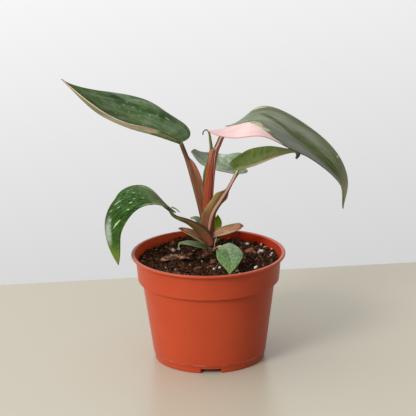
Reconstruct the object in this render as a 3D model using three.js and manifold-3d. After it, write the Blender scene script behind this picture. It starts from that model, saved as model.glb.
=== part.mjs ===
// Pink-variegated climbing aroid in its nursery pot.
// Millimetres, +Z up. Origin: the pot's axis on the ground. +Y is the back of
// the plant, +X its right side.
import * as THREE from 'three';
import { mergeVertices } from 'three/addons/utils/BufferGeometryUtils.js';
import Module from 'manifold-3d';

const wasm = await Module();
wasm.setup();

// ---------------------------------------------------------------- dimensions
const GAP = 0.3;                 // clearance between neighbouring pieces
const BLADE = 0.75;              // thickness of a leaf blade

const POT = {
  height: 76.4, lipRadius: 54.2, lipInner: 51.5, lipBottom: 74.4,
  bandTop: 51.1, bandFoot: 49.65, bandFootZ: 57.4,
  bodyTop: 46.7, bodyFoot: 39.2, bodyFootZ: 3.4, footRadius: 38.0,
  wall: 1.2, floorBottom: 3.4, floorTop: 4.8, footWall: 2.0,
  notchWidth: 14.5, notchHeight: 3.4, notches: 4,
  drainRadius: 4.5, drainCircle: 25, centreDrain: 5.5, sides: 40,
};
const SOIL = {
  level: 70.6, bottom: POT.floorTop + GAP, rings: 10,
  moundX: -12, moundY: 40, moundRise: 4.0, moundSize: 11,
  hollowX: -4, hollowY: 7, hollowDrop: 4.0, hollowSize: 9,
  heapX: 24, heapY: 27, heapRise: 1.6, heapSize: 14,
  lump: 0.75,
};
const STEM = { x: 0.5, y: 21.5, bottom: 50, soil: 71, top: 83, radius: 4.8 };

// Each stalk: points of its middle line from the crown up, the radius of its
// round rib, and how far the sheath's wings reach to the left and the right.
const STALKS = {
  middle_right: {
    path: [[-0.5, 18, 77], [0.4, 17.5, 84], [1.3, 17, 90.9], [2.6, 16.5, 97],
      [4.8, 16, 102.5], [8.1, 15.6, 107.7], [11, 15.1, 112.5], [13.8, 14.5, 117.3],
      [17.7, 13.6, 124.1], [21.6, 12.8, 132.8]],
    rib: [2.4, 1.9, 1.6, 1.4, 1.3, 1.25, 1.2, 1.2, 1.2, 1.2],
    left: [4.2, 5.6, 6.6, 6.9, 6.1, 5.9, 5.8, 1.4, 1.2, 1.2],
    right: [2.6, 2.5, 2.3, 2.1, 2.2, 2.1, 3.2, 1.8, 1.2, 1.2], cup: 0.8, rings: 24,
  },
  lower_left: {
    path: [[1.8, 15.6, 76.2], [0, 14.6, 81], [-3.9, 13, 86.8], [-9.1, 11, 92.2],
      [-14.3, 9.2, 96.1], [-19, 7.4, 98.6], [-22.5, 6.2, 100.6], [-24.8, 5.1, 103],
      [-26.2, 4.4, 105.8]],
    rib: [2.6, 2.4, 2.2, 1.9, 1.6, 1.4, 1.25, 1.2, 1.2],
    left: [3.0, 3.9, 4.0, 3.0, 2.1, 1.6, 1.25, 1.2, 1.2],
    right: [3.0, 3.7, 3.6, 2.7, 1.9, 1.5, 1.25, 1.2, 1.2], side: [-0.5, 0, -0.9], rings: 18,
  },
  upper_right: {
    path: [[0.5, 25, 75], [1.1, 24.3, 92], [1.9, 22.2, 107.5], [2.8, 20.4, 119.5],
      [3.8, 19.2, 129], [5, 17.8, 137.5], [6.2, 16.7, 144.4], [6.9, 16.2, 147.2],
      [8.3, 15.8, 150.4], [11, 14.7, 156.5], [16.8, 13.8, 163]],
    rib: [2.6, 2.3, 2.1, 2.0, 1.9, 1.9, 2.0, 2.05, 2.0, 1.85, 1.6],
    left: [3.5, 4.6, 4.9, 4.8, 4.8, 4.9, 4.4, 2.1, 2.0, 1.85, 1.6], cup: 0.6, rings: 26,
  },
  upper_left: {
    path: [[-0.5, 22, 76], [-2.7, 23.6, 90], [-5.1, 23.8, 102], [-7.9, 23.3, 114],
      [-10.5, 22.7, 125], [-12.9, 22, 134.5], [-14.5, 21.5, 140], [-18.4, 20.6, 151.4]],
    rib: [2.4, 2.0, 1.9, 1.8, 1.75, 1.7, 1.65, 1.5],
    right: [3.0, 4.6, 5.8, 6.4, 6.0, 4.2, 1.65, 1.5], cup: 0.6, rings: 22,
  },
  back: {
    path: [[0.8, 26.4, 74.5], [2.2, 29.4, 88.5], [5.9, 32.3, 98.5], [11.8, 34.6, 107.3],
      [16.6, 36.6, 114.6], [20.8, 38.6, 121], [25.2, 39.8, 125.6]],
    rib: [2.4, 1.7, 1.3, 1.15, 1.1, 1.1, 1.1], left: [4.2, 3.4, 1.3, 1.15, 1.1, 1.1, 1.1],
    right: [4.2, 2.8, 1.3, 1.15, 1.1, 1.1, 1.1], cup: -1.2, rings: 14,
  },
  front_small: {
    path: [[1.5, 18.5, 74.5], [1.6, 12.5, 73.4], [2.4, 7, 74.2], [4.2, 0, 78.2],
      [6.6, -5.3, 81.6], [9.2, -9.6, 83.5]],
    rib: [1.3, 0.9, 0.7, 0.65, 0.7, 0.8], side: [0, 0, 1],
  },
};
const SPIKE = {
  path: [[-0.6, 24.2, 113], [-0.6, 23.8, 125], [1.6, 21.6, 136], [3.1, 19.2, 145],
    [2.6, 18.1, 152.5], [1.7, 17.4, 158.6], [-0.2, 17.1, 160.5], [-2.1, 17, 159.3],
    [-2.7, 16.9, 156.8]],
  rib: [2.0, 2.4, 2.0, 1.3, 1.0, 0.7, 0.5, 0.45, 0.4],
};

// Each leaf: points of its midrib from the stalk to the tip, half its width,
// the lift of its front and back halves along the blade in degrees, the curl
// of each half, and the outline's numbers as shares of the blade's length.
const LEAVES = {
  upper_right: {
    midrib: [[17.1, 13.6, 164.1], [40.1, 15.7, 166], [66.4, 22.5, 148.3],
      [92.2, 19.2, 122.9], [96.1, 23.5, 99.5]],
    halfWidth: 29, liftFront: [-7, -5, 2, 0], liftBack: [-12.6, 12.1, 26.3, 33],
    curlFront: 0, curlBack: -1.7, lobeFront: 0.19, lobeBack: 0.052, widest: 0.28,
    belly: 0.36, point: 0.03, lobeRise: 0.15, wave: [-0.5, -0.44], phase: [-0.08, 0.38],
    lobeTip: [-0.15, 0.42], rows: 24, columns: 5,
  },
  upper_left: {
    midrib: [[-18.6, 20.6, 150.9], [-34.5, 13.6, 158.4], [-56.3, 9.4, 166.3],
      [-76.9, 3.1, 179.3], [-99, 1.5, 202.4]],
    halfWidth: 25.2, liftFront: [23, 23, 23, 21], liftBack: [42, 49, 49, 45],
    curlFront: -3, curlBack: -15.4, lobeFront: -0.09, lobeBack: 0.13, widest: 0.4,
    belly: 0.29, point: 0.15, lobeRise: 0, wave: [-0.34, -1.28], phase: [0.09, 0.11],
    rows: 20, columns: 4,
  },
  lower_left: {
    midrib: [[-26.4, 4.3, 106.6], [-42.4, 2.9, 118.6], [-57.6, -4.5, 115.2],
      [-66.9, -8.1, 98.2], [-62.9, -9.9, 71]],
    halfWidth: 19.8, liftFront: [19, -8, -20, -24], liftBack: [-8, 4.5, 18, 35],
    curlFront: -7.7, curlBack: -2.1, lobeFront: -0.05, lobeBack: 0.12, widest: 0.47,
    belly: 0.35, point: 0.03, lobeRise: 0, wave: [0, 0], phase: [0, 0],
    rows: 20, columns: 4,
  },
  middle_right: {
    midrib: [[21.3, 12.7, 133.2], [34, 12.3, 136.6], [48.3, 9.6, 142.7],
      [60.6, 7.4, 146.1], [62.9, 7.4, 142.2]],
    halfWidth: 15.1, liftFront: [55, 62, 50, 20], liftBack: [0, 0, 0, 0],
    curlFront: 1, curlBack: 0, lobeFront: 0.12, lobeBack: 0.12, widest: 0.34,
    belly: 0.3, point: 0.06, blunt: 0.6, lobeRise: 0, wave: [0, 0], phase: [0, 0],
    rows: 16, columns: 3,
  },
  back: {
    midrib: [[25.7, 39.9, 126.3], [14.4, 42, 127.7], [-2, 42.6, 131],
      [-11.2, 37, 139.4]],
    halfWidth: 12.3, liftFront: [-14, -10, -5, -10], liftBack: [47, 31, 18, 27],
    curlFront: 1, curlBack: -6, lobeFront: 0.15, lobeBack: 0.15, widest: 0.39,
    belly: 0.33, point: 0.03, blunt: 0.35, lobeRise: 0, wave: [-0.1, 1.2], phase: [0, 0.06],
    rows: 16, columns: 3,
  },
  front_small: {
    midrib: [[9.5, -10.5, 83.9], [13.4, -14, 82.6], [14.8, -23, 80.7],
      [15.1, -33.8, 77.4], [14.3, -42.6, 73.5]],
    halfWidth: 9.2, liftFront: [9, 2, -6, 2], liftBack: [-1, 6, 15, 5],
    curlFront: 0, curlBack: 0, lobeFront: 0.03, lobeBack: 0.03, widest: 0.4,
    belly: 0.26, point: 0.11, blunt: 0.13, lobeRise: 0, wave: [0, 0], phase: [0, 0],
    rows: 12, columns: 2, side: [-1, 0, 0.1],
  },
};
// Small leaves and scale leaves round the crown.
const SMALL = {
  scale_leaf_left: {
    midrib: [[-2.2, 14, 78.6], [-7.5, 7.6, 84], [-13.7, 3.6, 89], [-20.7, 2.3, 93.5]],
    halfWidth: 5.1, liftFront: [0, 5, 8, 3], liftBack: [30, 34, 38, 42], widest: 0.44,
    belly: 0.28, point: 0.04, blunt: 0.4,
  },
  soil_leaf_left: {
    midrib: [[-1.5, 15, 75.4], [-7.2, 10, 78], [-12.8, 7.5, 80.2], [-17.7, 6, 81.1],
      [-20.2, 4, 81.2], [-20.9, 2, 78.6]],
    halfWidth: 4.7, liftFront: [0, 6, 6, 5], liftBack: [17, 11, 10, 12], widest: 0.44,
    belly: 0.25, point: 0.19,
  },
  scale_leaf_right: {
    midrib: [[2.9, 18.6, 82.2], [12.3, 16.2, 85.1], [21.7, 15.1, 88.6], [25, 10.5, 91.9]],
    halfWidth: 5.2, liftFront: [3.5, 5.5, 5, 12], liftBack: [59, 59, 53, 50], widest: 0.46,
    belly: 0.32, point: 0.02, blunt: 0.34,
  },
  small_leaf_back_right: {
    midrib: [[2.6, 27.6, 79.5], [6, 33.6, 84.6], [7, 35.2, 89.6], [7.2, 33.2, 94]],
    halfWidth: 3.6, liftFront: [-3, -3, -2, -1], liftBack: [29, 20, 7, -4], widest: 0.52,
    belly: 0.21, point: 0.16, side: [-1, 0, 0],
  },
  small_leaf_back_left: {
    midrib: [[-1.6, 24.4, 80.5], [-5.5, 30.2, 88.2], [-8.8, 34.8, 90.6], [-12.8, 38.4, 89.8]],
    halfWidth: 7.4, liftFront: [-4, -5, -3, -1], liftBack: [0, 2, 3, 3], widest: 0.46,
    belly: 0.25, point: 0.16,
  },
};
const BARK = { x: -23, y: -2, z: 73.2, length: 18, width: 9, height: 4.2 };

// ------------------------------------------------------------- small helpers
const rad = THREE.MathUtils.degToRad;
const v3 = (a) => new THREE.Vector3(a[0], a[1], a[2]);
const clamp = THREE.MathUtils.clamp;

function along(points) {
  return new THREE.CatmullRomCurve3(points.map(v3), false, 'catmullrom', 0.5);
}
function value(list, t) {
  return new THREE.CatmullRomCurve3(list.map((v) => new THREE.Vector3(v, 0, 0)),
    false, 'catmullrom', 0.5).getPoint(clamp(t, 0, 1)).x;
}
function solid(points, faces) {
  let s = new wasm.Manifold(new wasm.Mesh({
    numProp: 3,
    vertProperties: new Float32Array(points.flatMap((p) => [p.x, p.y, p.z])),
    triVerts: new Uint32Array(faces.flat()),
  }));
  if (s.volume() < 0) return solid(points, faces.map(([a, b, c]) => [a, c, b]));
  return s;
}
function fromGeometry(geometry) {
  const g = geometry.clone();
  g.deleteAttribute('normal');
  g.deleteAttribute('uv');
  const m = mergeVertices(g, 1e-4);
  const p = m.attributes.position;
  const points = [];
  for (let i = 0; i < p.count; i++) points.push(new THREE.Vector3().fromBufferAttribute(p, i));
  const faces = [];
  for (let i = 0; i < m.index.count; i += 3) {
    const f = [m.index.getX(i), m.index.getX(i + 1), m.index.getX(i + 2)];
    if (f[0] !== f[1] && f[1] !== f[2] && f[2] !== f[0]) faces.push(f);
  }
  return solid(points, faces);
}
// Keeps the main body of a cut and drops loose scraps.
function main(s) {
  const bodies = s.decompose();
  bodies.sort((a, b) => b.volume() - a.volume());
  return bodies[0];
}

// ---------------------------------------------------------------- leaf blade
// Half of the outline in flat: x in blade lengths, y in half widths.
function outline(s, leaf, front) {
  const lobe = (front ? leaf.lobeFront : leaf.lobeBack) ?? 0;
  const bez = (a, b, c, d, t) => {
    const u = 1 - t;
    return u * u * u * a + 3 * u * u * t * b + 3 * u * t * t * c + t * t * t * d;
  };
  if (s < 0.5) {
    const t = s * 2;
    if (front && leaf.lobeTip) {
      const [tipX, tipY] = leaf.lobeTip;
      if (t <= 1 / 3) return [tipX * 3 * t, tipY * 3 * t];
      const u = (3 * t - 1) / 2;
      return [bez(tipX, tipX + 0.04, leaf.widest - 0.22, leaf.widest, u),
        bez(tipY, tipY + 0.3, 1, 1, u)];
    }
    return [bez(0, -1.35 * lobe, -0.75 * lobe, leaf.widest, t), bez(0, 0.34, 1, 1, t)];
  }
  const t = s * 2 - 1;
  return [bez(leaf.widest, leaf.widest + leaf.belly, 1 - leaf.point, 1, t),
    bez(1, 1, leaf.blunt ?? 0.1, 0, t)];
}
function bladeSurface(leaf) {
  const curve = along(leaf.midrib);
  const steps = 200;
  const at = [];
  const run = [0];
  for (let i = 0; i <= steps; i++) at.push(curve.getPoint(i / steps));
  for (let i = 1; i <= steps; i++) run.push(run[i - 1] + at[i].distanceTo(at[i - 1]));
  const length = run[steps];
  const side = v3(leaf.side ?? [0, -1, 0]).normalize();
  const way = at[steps].clone().sub(at[0]).cross(side).z > 0 ? 1 : -1;
  function frame(x) {
    const want = clamp(x, 0, 1) * length;
    let i = 1;
    while (i < steps && run[i] < want) i++;
    const t = (i - 1 + (want - run[i - 1]) / (run[i] - run[i - 1])) / steps;
    const T = curve.getPoint(Math.min(t + 0.02, 1)).sub(curve.getPoint(Math.max(t - 0.02, 0)))
      .normalize();
    const A = side.clone().addScaledVector(T, -T.dot(side)).normalize();
    const N = T.clone().cross(A).multiplyScalar(way);
    const back = Math.min(x, 0) * length;
    const M = curve.getPoint(t).addScaledVector(T, back)
      .addScaledVector(N, (leaf.lobeRise ?? 0) * back * back / (0.1 * length));
    return { M, A, N };
  }
  // s runs round the outline, v from the midrib (0) to the edge (1).
  function point(s, v, front, grow = 0) {
    const [ox, oy] = outline(s, leaf, front);
    const middle = s ** 1.25;
    const x = middle + (ox - middle) * v;
    const half = leaf.halfWidth;
    const y = oy * v * half + grow * v;
    const { M, A, N } = frame(x);
    const fold = rad(value(front ? leaf.liftFront : leaf.liftBack, x));
    const curl = rad((front ? leaf.curlFront : leaf.curlBack) ?? 0) / half + 1e-6;
    const k = front ? 0 : 1;
    const a = (Math.sin(fold + curl * y) - Math.sin(fold)) / curl;
    const n = (Math.cos(fold) - Math.cos(fold + curl * y)) / curl
      + (leaf.wave?.[k] ?? 0) * Math.sin(2 * Math.PI * (2 * x + (leaf.phase?.[k] ?? 0)))
      * (y / half) ** 2;
    return M.addScaledVector(A, front ? a : -a).addScaledVector(N, n);
  }
  return { point, length, way };
}
function blade(leaf, grow = 0) {
  const rows = leaf.rows ?? 9;
  const cols = leaf.columns ?? 2;
  const surface = bladeSurface(leaf);
  const wide = 2 * cols + 1;
  const grid = [];
  for (let i = 0; i <= rows; i++) {
    const row = [];
    for (let j = -cols; j <= cols; j++) {
      row.push(surface.point(i / rows, Math.abs(j) / cols, j <= 0, grow));
    }
    grid.push(row);
  }
  const last = rows;
  const id = (i, j) => (i === 0 ? 0 : i === last ? 1 : 2 + (i - 1) * wide + j);
  const count = 2 + (rows - 1) * wide;
  const mid = new Array(count);
  for (let i = 0; i <= rows; i++) for (let j = 0; j < wide; j++) mid[id(i, j)] = grid[i][j];
  const faces = [];
  for (let i = 0; i < rows; i++) {
    for (let j = 0; j < wide - 1; j++) {
      const a = id(i, j), b = id(i + 1, j), c = id(i + 1, j + 1), d = id(i, j + 1);
      if (a !== d) faces.push(j < cols ? [a, b, d] : [a, b, c]);
      if (b !== c) faces.push(j < cols ? [b, c, d] : [a, c, d]);
      if (a === d) faces[faces.length - 1] = [a, b, c];
      if (b === c) faces[faces.length - 1] = [a, b, d];
    }
  }
  const normal = mid.map(() => new THREE.Vector3());
  for (const [a, b, c] of faces) {
    const n = mid[b].clone().sub(mid[a]).cross(mid[c].clone().sub(mid[a])).normalize();
    for (const k of [a, b, c]) normal[k].add(n);
  }
  normal.forEach((n) => n.normalize());
  const top = [], under = [];
  const h = BLADE / 2 + grow;
  for (let i = 0; i <= rows; i++) {
    for (let j = 0; j < wide; j++) {
      const k = id(i, j);
      if (top[k]) continue;
      const off = Math.abs(j - cols) / cols;
      const rib = 0.5 * (1 - off) ** 2 * (1 - i / rows);
      const up = mid[k].clone().addScaledVector(normal[k], h);
      const down = mid[k].clone().addScaledVector(normal[k], -h - rib);
      // the grid's normals point up or down with the blade's direction
      top[k] = up;
      under[k] = down;
    }
  }
  const all = [...faces, ...faces.map(([a, b, c]) => [a + count, c + count, b + count])];
  const rim = [];
  rim.push(0);
  for (let i = 1; i < rows; i++) rim.push(id(i, wide - 1));
  rim.push(1);
  for (let i = rows - 1; i > 0; i--) rim.push(id(i, 0));
  const edge = new Set();
  for (const [a, b, c] of faces) for (const [p, q] of [[a, b], [b, c], [c, a]]) edge.add(`${p},${q}`);
  for (let i = 0; i < rim.length; i++) {
    let a = rim[i], b = rim[(i + 1) % rim.length];
    if (!edge.has(`${a},${b}`)) [a, b] = [b, a];
    all.push([b, a, b + count], [a, a + count, b + count]);
  }
  return solid([...top, ...under], all);
}

// --------------------------------------------------------------- leaf stalks
function stalk(s, grow = 0, rings = s.rings ?? 12, around = 4) {
  const curve = along(s.path);
  const side = v3(s.side ?? [1, 0, 0]);
  const points = [];
  const faces = [];
  const per = 4 * around;
  for (let i = 0; i < rings; i++) {
    const t = i / (rings - 1);
    const C = curve.getPoint(t);
    const T = curve.getPoint(Math.min(t + 0.01, 1)).sub(curve.getPoint(Math.max(t - 0.01, 0)))
      .normalize();
    if (i === 0) C.addScaledVector(T, -grow);
    if (i === rings - 1) C.addScaledVector(T, grow);
    const A = side.clone().addScaledVector(T, -T.dot(side)).normalize();
    const N = A.clone().cross(T);
    if (N.y > 0) N.negate();
    const r = Math.max(value(s.rib, t), 0.3) + grow;
    const reach = [Math.max(value(s.left ?? s.rib, t) + grow, r),
      Math.max(value(s.right ?? s.rib, t) + grow, r)];
    const spot = (q, up) => {
      const W = q < 0 ? reach[0] : reach[1];
      const u = W * Math.sin(Math.abs(q) * Math.PI / 2);
      const k = r / W;
      const e = 0.55 + grow;
      const body = k + (1 - k) * Math.exp(-((u / r) ** 2));
      const h = Math.sqrt(Math.max(1 - (u / W) ** (2 * k + 5 * (1 - k)), 0))
        * (e + (r - e) * body);
      return C.clone().addScaledVector(A, q < 0 ? -u : u)
        .addScaledVector(N, (s.cup ?? 0) * (u / W) ** 2 * (1 - k) + up * h);
    };
    for (let j = -around; j <= around; j++) points.push(spot(j / around, 1));
    for (let j = around - 1; j > -around; j--) points.push(spot(j / around, -1));
  }
  for (let i = 0; i < rings - 1; i++) {
    for (let j = 0; j < per; j++) {
      const a = i * per + j, b = i * per + (j + 1) % per;
      faces.push([a, b, b + per], [a, b + per, a + per]);
    }
  }
  for (const [base, flip] of [[0, 1], [(rings - 1) * per, 0]]) {
    for (let j = 1; j < per - 1; j++) {
      faces.push(flip ? [base, base + j + 1, base + j] : [base, base + j, base + j + 1]);
    }
  }
  return solid(points, faces);
}

// ------------------------------------------------------------------- the pot
function turned(profile, sides) {
  const g = new THREE.LatheGeometry(profile.map(([r, z]) => new THREE.Vector2(r, z)), sides);
  g.rotateX(Math.PI / 2);
  return fromGeometry(g);
}
const P = POT;
let potSolid = turned([
  [0, P.floorBottom], [P.footRadius - P.footWall, P.floorBottom],
  [P.footRadius - P.footWall, 0], [P.footRadius, 0], [P.footRadius + 0.9, 0.9],
  [P.bodyFoot, P.bodyFootZ], [P.bodyTop, P.bandFootZ - 0.2], [P.bandFoot - 0.3, P.bandFootZ - 0.2],
  [P.bandFoot, P.bandFootZ + 0.3], [P.bandTop, P.lipBottom - 1.2],
  [P.lipRadius - 0.6, P.lipBottom - 0.2], [P.lipRadius, P.lipBottom + 0.5],
  [P.lipRadius, P.height - 0.7], [P.lipRadius - 0.6, P.height], [P.lipInner + 0.7, P.height],
  [P.lipInner, P.height - 0.6], [P.bandTop - P.wall, P.lipBottom - 1.6],
  [P.bandFoot - P.wall, P.bandFootZ + 1.2], [P.bodyTop - P.wall, P.bandFootZ + 0.9],
  [P.bodyFoot - P.wall + 0.2, P.floorTop], [0, P.floorTop]], P.sides);
for (let i = 0; i < P.notches; i++) {
  const angle = -Math.PI / 2 + (i * 2 * Math.PI) / P.notches;
  const notch = new THREE.BoxGeometry(8, P.notchWidth, P.notchHeight);
  notch.translate(P.footRadius, 0, P.notchHeight / 2 - 0.001);
  notch.rotateZ(angle);
  notch.translate(i === 0 ? 0.8 : 0, 0, 0);
  potSolid = potSolid.subtract(fromGeometry(notch));
  const drain = new THREE.CylinderGeometry(P.drainRadius, P.drainRadius, 6, 16);
  drain.rotateX(Math.PI / 2);
  drain.translate(P.drainCircle, 0, P.floorBottom + 1);
  drain.rotateZ(angle + Math.PI / P.notches);
  potSolid = potSolid.subtract(fromGeometry(drain));
}
const centreDrain = new THREE.CylinderGeometry(P.centreDrain, P.centreDrain, 6, 16);
centreDrain.rotateX(Math.PI / 2);
centreDrain.translate(0, 0, P.floorBottom + 1);
potSolid = potSolid.subtract(fromGeometry(centreDrain));

// ------------------------------------------------------------------ the soil
function soilHeight(x, y) {
  const S = SOIL;
  const hump = (cx, cy, size) => Math.exp(-((x - cx) ** 2 + (y - cy) ** 2) / size ** 2);
  const lumps = Math.sin(0.47 * x + 1.3 * Math.sin(0.23 * y)) * Math.cos(0.41 * y + 0.6)
    + 0.7 * Math.sin(0.83 * x - 0.55 * y + 1.1) * Math.sin(0.37 * x + 0.71 * y);
  return S.level + S.moundRise * hump(S.moundX, S.moundY, S.moundSize)
    - S.hollowDrop * hump(S.hollowX, S.hollowY, S.hollowSize)
    + S.heapRise * hump(S.heapX, S.heapY, S.heapSize) + S.lump * lumps;
}
function soil() {
  const S = SOIL;
  const n = P.sides;
  const inner = (z) => {
    const body = P.bodyFoot + (P.bodyTop - P.bodyFoot) * (z - P.bodyFootZ)
      / (P.bandFootZ - P.bodyFootZ);
    const band = P.bandFoot + (P.bandTop - P.bandFoot) * (z - P.bandFootZ)
      / (P.lipBottom - P.bandFootZ);
    return (z > P.bandFootZ + 1.3 ? band : body) - P.wall - GAP - 0.15;
  };
  const points = [new THREE.Vector3(0, 0, soilHeight(0, 0))];
  const faces = [];
  const ring = (radius, z) => {
    const start = points.length;
    for (let i = 0; i < n; i++) {
      const a = (2 * Math.PI * i) / n;
      const x = radius * Math.cos(a), y = radius * Math.sin(a);
      points.push(new THREE.Vector3(x, y, z ?? soilHeight(x, y)));
    }
    return start;
  };
  const starts = [];
  const top = inner(S.level);
  for (let k = 1; k <= S.rings; k++) starts.push(ring((top * k) / S.rings));
  const step = P.bandFootZ + 1.9;
  starts.push(ring(inner(step), step));
  starts.push(ring(inner(P.bandFootZ), step));
  starts.push(ring(inner(S.bottom), S.bottom));
  for (let i = 0; i < n; i++) faces.push([0, starts[0] + i, starts[0] + (i + 1) % n]);
  for (let k = 0; k + 1 < starts.length; k++) {
    for (let i = 0; i < n; i++) {
      const j = (i + 1) % n;
      const a = starts[k] + i, b = starts[k] + j, c = starts[k + 1] + j, d = starts[k + 1] + i;
      faces.push([a, d, b], [b, d, c]);
    }
  }
  const end = points.length;
  points.push(new THREE.Vector3(0, 0, S.bottom));
  const low = starts[starts.length - 1];
  for (let i = 0; i < n; i++) faces.push([end, low + (i + 1) % n, low + i]);
  return solid(points, faces);
}

// ------------------------------------------------------------------ the stem
function stem(grow = 0) {
  const s = STEM;
  const r = s.radius + grow;
  const g = new THREE.LatheGeometry([[0, s.bottom - grow], [r * 0.55, s.bottom - grow],
    [r * 0.9, s.bottom + 6], [r, s.soil], [r, s.top - 7], [r * 0.8, s.top - 2.5],
    [r * 0.4, s.top + grow], [0, s.top + grow]].map(([a, b]) => new THREE.Vector2(a, b)), 14);
  g.rotateX(Math.PI / 2);
  g.translate(s.x, s.y, 0);
  return fromGeometry(g);
}
function bark(grow = 0) {
  const b = BARK;
  const g = new THREE.IcosahedronGeometry(1, 1);
  const p = g.attributes.position;
  for (let i = 0; i < p.count; i++) {
    const q = new THREE.Vector3().fromBufferAttribute(p, i);
    const rough = 1 + 0.12 * Math.sin(5 * q.x + 3 * q.y) + 0.08 * Math.sin(7 * q.z - 4 * q.x);
    p.setXYZ(i, q.x * rough * (b.length / 2 + grow), q.y * rough * (b.width / 2 + grow),
      q.z * rough * (b.height / 2 + grow));
  }
  g.rotateZ(rad(8));
  g.translate(b.x, b.y, b.z);
  return fromGeometry(g);
}

// ------------------------------------------------- cutting neighbours clear
// Pieces are made in this order; each is cut clear of those before it.
const made = [];
function box(s) {
  const b = s.boundingBox();
  return [b.min, b.max];
}
function apart(a, b) {
  const [a0, a1] = box(a), [b0, b1] = box(b);
  return [0, 1, 2].some((i) => a1[i] < b0[i] || b1[i] < a0[i]);
}
const pieces = {};
function piece(name, build, { clear = true } = {}) {
  let s = build(0);
  if (clear) {
    for (const other of made) if (!apart(s, other)) s = s.subtract(other);
    s = main(s);
  }
  pieces[name] = s;
  made.push(build(GAP));
}
piece('crown_stem', stem);
const order = ['middle_right', 'lower_left', 'upper_right', 'upper_left', 'back', 'front_small'];
for (const k of order) piece(`${k}_leaf_stalk`, (g) => stalk(STALKS[k], g));
piece('new_leaf_spike', (g) => stalk(SPIKE, g, 15, 2));
for (const k of order) piece(`${k}_leaf_blade`, (g) => blade(LEAVES[k], g));
for (const k of Object.keys(SMALL)) piece(k, (g) => blade(SMALL[k], g));
piece('bark_chunk', bark);
let ground = soil();
for (const other of made) if (!apart(ground, other)) ground = ground.subtract(other);
pieces.potting_soil = main(ground);
pieces.nursery_pot = potSolid;

// ------------------------------------------------------------ scene assembly
const LOOK = {
  nursery_pot: [0xb5492b, 0.5], potting_soil: [0x33231a, 0.95], crown_stem: [0x6b4a33, 0.6],
  middle_right_leaf_stalk: [0xb08a70, 0.5], lower_left_leaf_stalk: [0x77714a, 0.5],
  upper_right_leaf_stalk: [0x93462f, 0.5], upper_left_leaf_stalk: [0x6c4630, 0.5],
  back_leaf_stalk: [0x7d8a5c, 0.5], front_small_leaf_stalk: [0xc09080, 0.5],
  new_leaf_spike: [0x788048, 0.5], upper_right_leaf_blade: [0x67724f, 0.45],
  upper_left_leaf_blade: [0x4f6e3a, 0.45], lower_left_leaf_blade: [0x4c6a38, 0.45],
  middle_right_leaf_blade: [0x5b6c36, 0.55], back_leaf_blade: [0x84907a, 0.5],
  front_small_leaf_blade: [0x5c7647, 0.5], scale_leaf_left: [0xa27a5c, 0.5],
  soil_leaf_left: [0x5c7647, 0.5], scale_leaf_right: [0xa27556, 0.5],
  small_leaf_back_right: [0x515c18, 0.5], small_leaf_back_left: [0x6a7758, 0.5],
  bark_chunk: [0x9b7155, 0.9],
};
const group = new THREE.Group();
for (const [name, s] of Object.entries(pieces)) {
  const m = s.getMesh();
  const g = new THREE.BufferGeometry();
  g.setAttribute('position', new THREE.BufferAttribute(new Float32Array(m.vertProperties), 3));
  g.setIndex(new THREE.BufferAttribute(new Uint32Array(m.triVerts), 1));
  g.computeVertexNormals();
  const [color, roughness] = LOOK[name];
  const mesh = new THREE.Mesh(g, new THREE.MeshStandardMaterial({ color, roughness, metalness: 0 }));
  mesh.name = name;
  group.add(mesh);
}

export default group;
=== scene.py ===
"""A young pink-variegated climbing aroid in its nursery pot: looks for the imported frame.

Tables are in millimetres, as a grower would measure them; to_object() makes a mesh metres.
Colours are screen colours, 0 to 255, that a surface shows in the studio's light.
+X is the plant's right, +Y its back, +Z up, and the pot's axis stands on the origin.
"""
import bisect
import math
import random

import bmesh
import bpy
from mathutils import Matrix, Vector, noise


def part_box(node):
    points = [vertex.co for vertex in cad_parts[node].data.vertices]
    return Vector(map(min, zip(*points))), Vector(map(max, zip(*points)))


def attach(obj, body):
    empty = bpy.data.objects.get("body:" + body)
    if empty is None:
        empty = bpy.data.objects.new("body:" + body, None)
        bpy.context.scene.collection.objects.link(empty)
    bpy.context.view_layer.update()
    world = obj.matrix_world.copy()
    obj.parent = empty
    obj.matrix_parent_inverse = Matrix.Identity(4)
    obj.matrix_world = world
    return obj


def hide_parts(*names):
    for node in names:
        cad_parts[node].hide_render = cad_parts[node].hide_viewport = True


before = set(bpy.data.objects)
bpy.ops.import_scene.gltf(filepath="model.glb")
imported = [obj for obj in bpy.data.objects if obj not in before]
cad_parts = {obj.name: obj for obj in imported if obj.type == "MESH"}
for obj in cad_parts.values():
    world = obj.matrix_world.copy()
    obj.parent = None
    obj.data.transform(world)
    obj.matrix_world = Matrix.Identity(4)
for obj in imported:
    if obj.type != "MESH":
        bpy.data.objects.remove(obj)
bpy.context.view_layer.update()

MM = 0.001
FRONT = Vector((0, -1, 0))

# ------------------------------------------------------------------ sizes, mm
pot_low, pot_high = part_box("nursery_pot")
POT_HEIGHT = pot_high.z / MM
LIP_RADIUS = (pot_high.x - pot_low.x) / 2 / MM
LIP_INNER = LIP_RADIUS - 2.7
LIP_DEPTH, LIP_ROLL = 1.7, 0.75
BAND_TOP, BAND_FOOT, BAND_FOOT_Z = 51.1, 49.65, 57.4
BODY_TOP, BODY_FOOT, FOOT_HEIGHT = 46.7, 39.2, 3.4
FOOT_RADIUS, FOOT_WALL, WALL, FLOOR_TOP = 38.0, 2.0, 1.2, 4.8
NOTCH_WIDTH, NOTCHES, NOTCH_SHIFT = 14.5, 4, 0.8
DRAIN_RADIUS, DRAIN_CIRCLE, CENTRE_DRAIN = 4.5, 25.0, 5.5
POT_STEPS, DRAIN_STEPS = 240, 40
NOTCH_GAP = 0.001     # between a notch's two walls, in radians
SHARP = 40            # edges that turn more than this many degrees stay crisp

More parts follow.
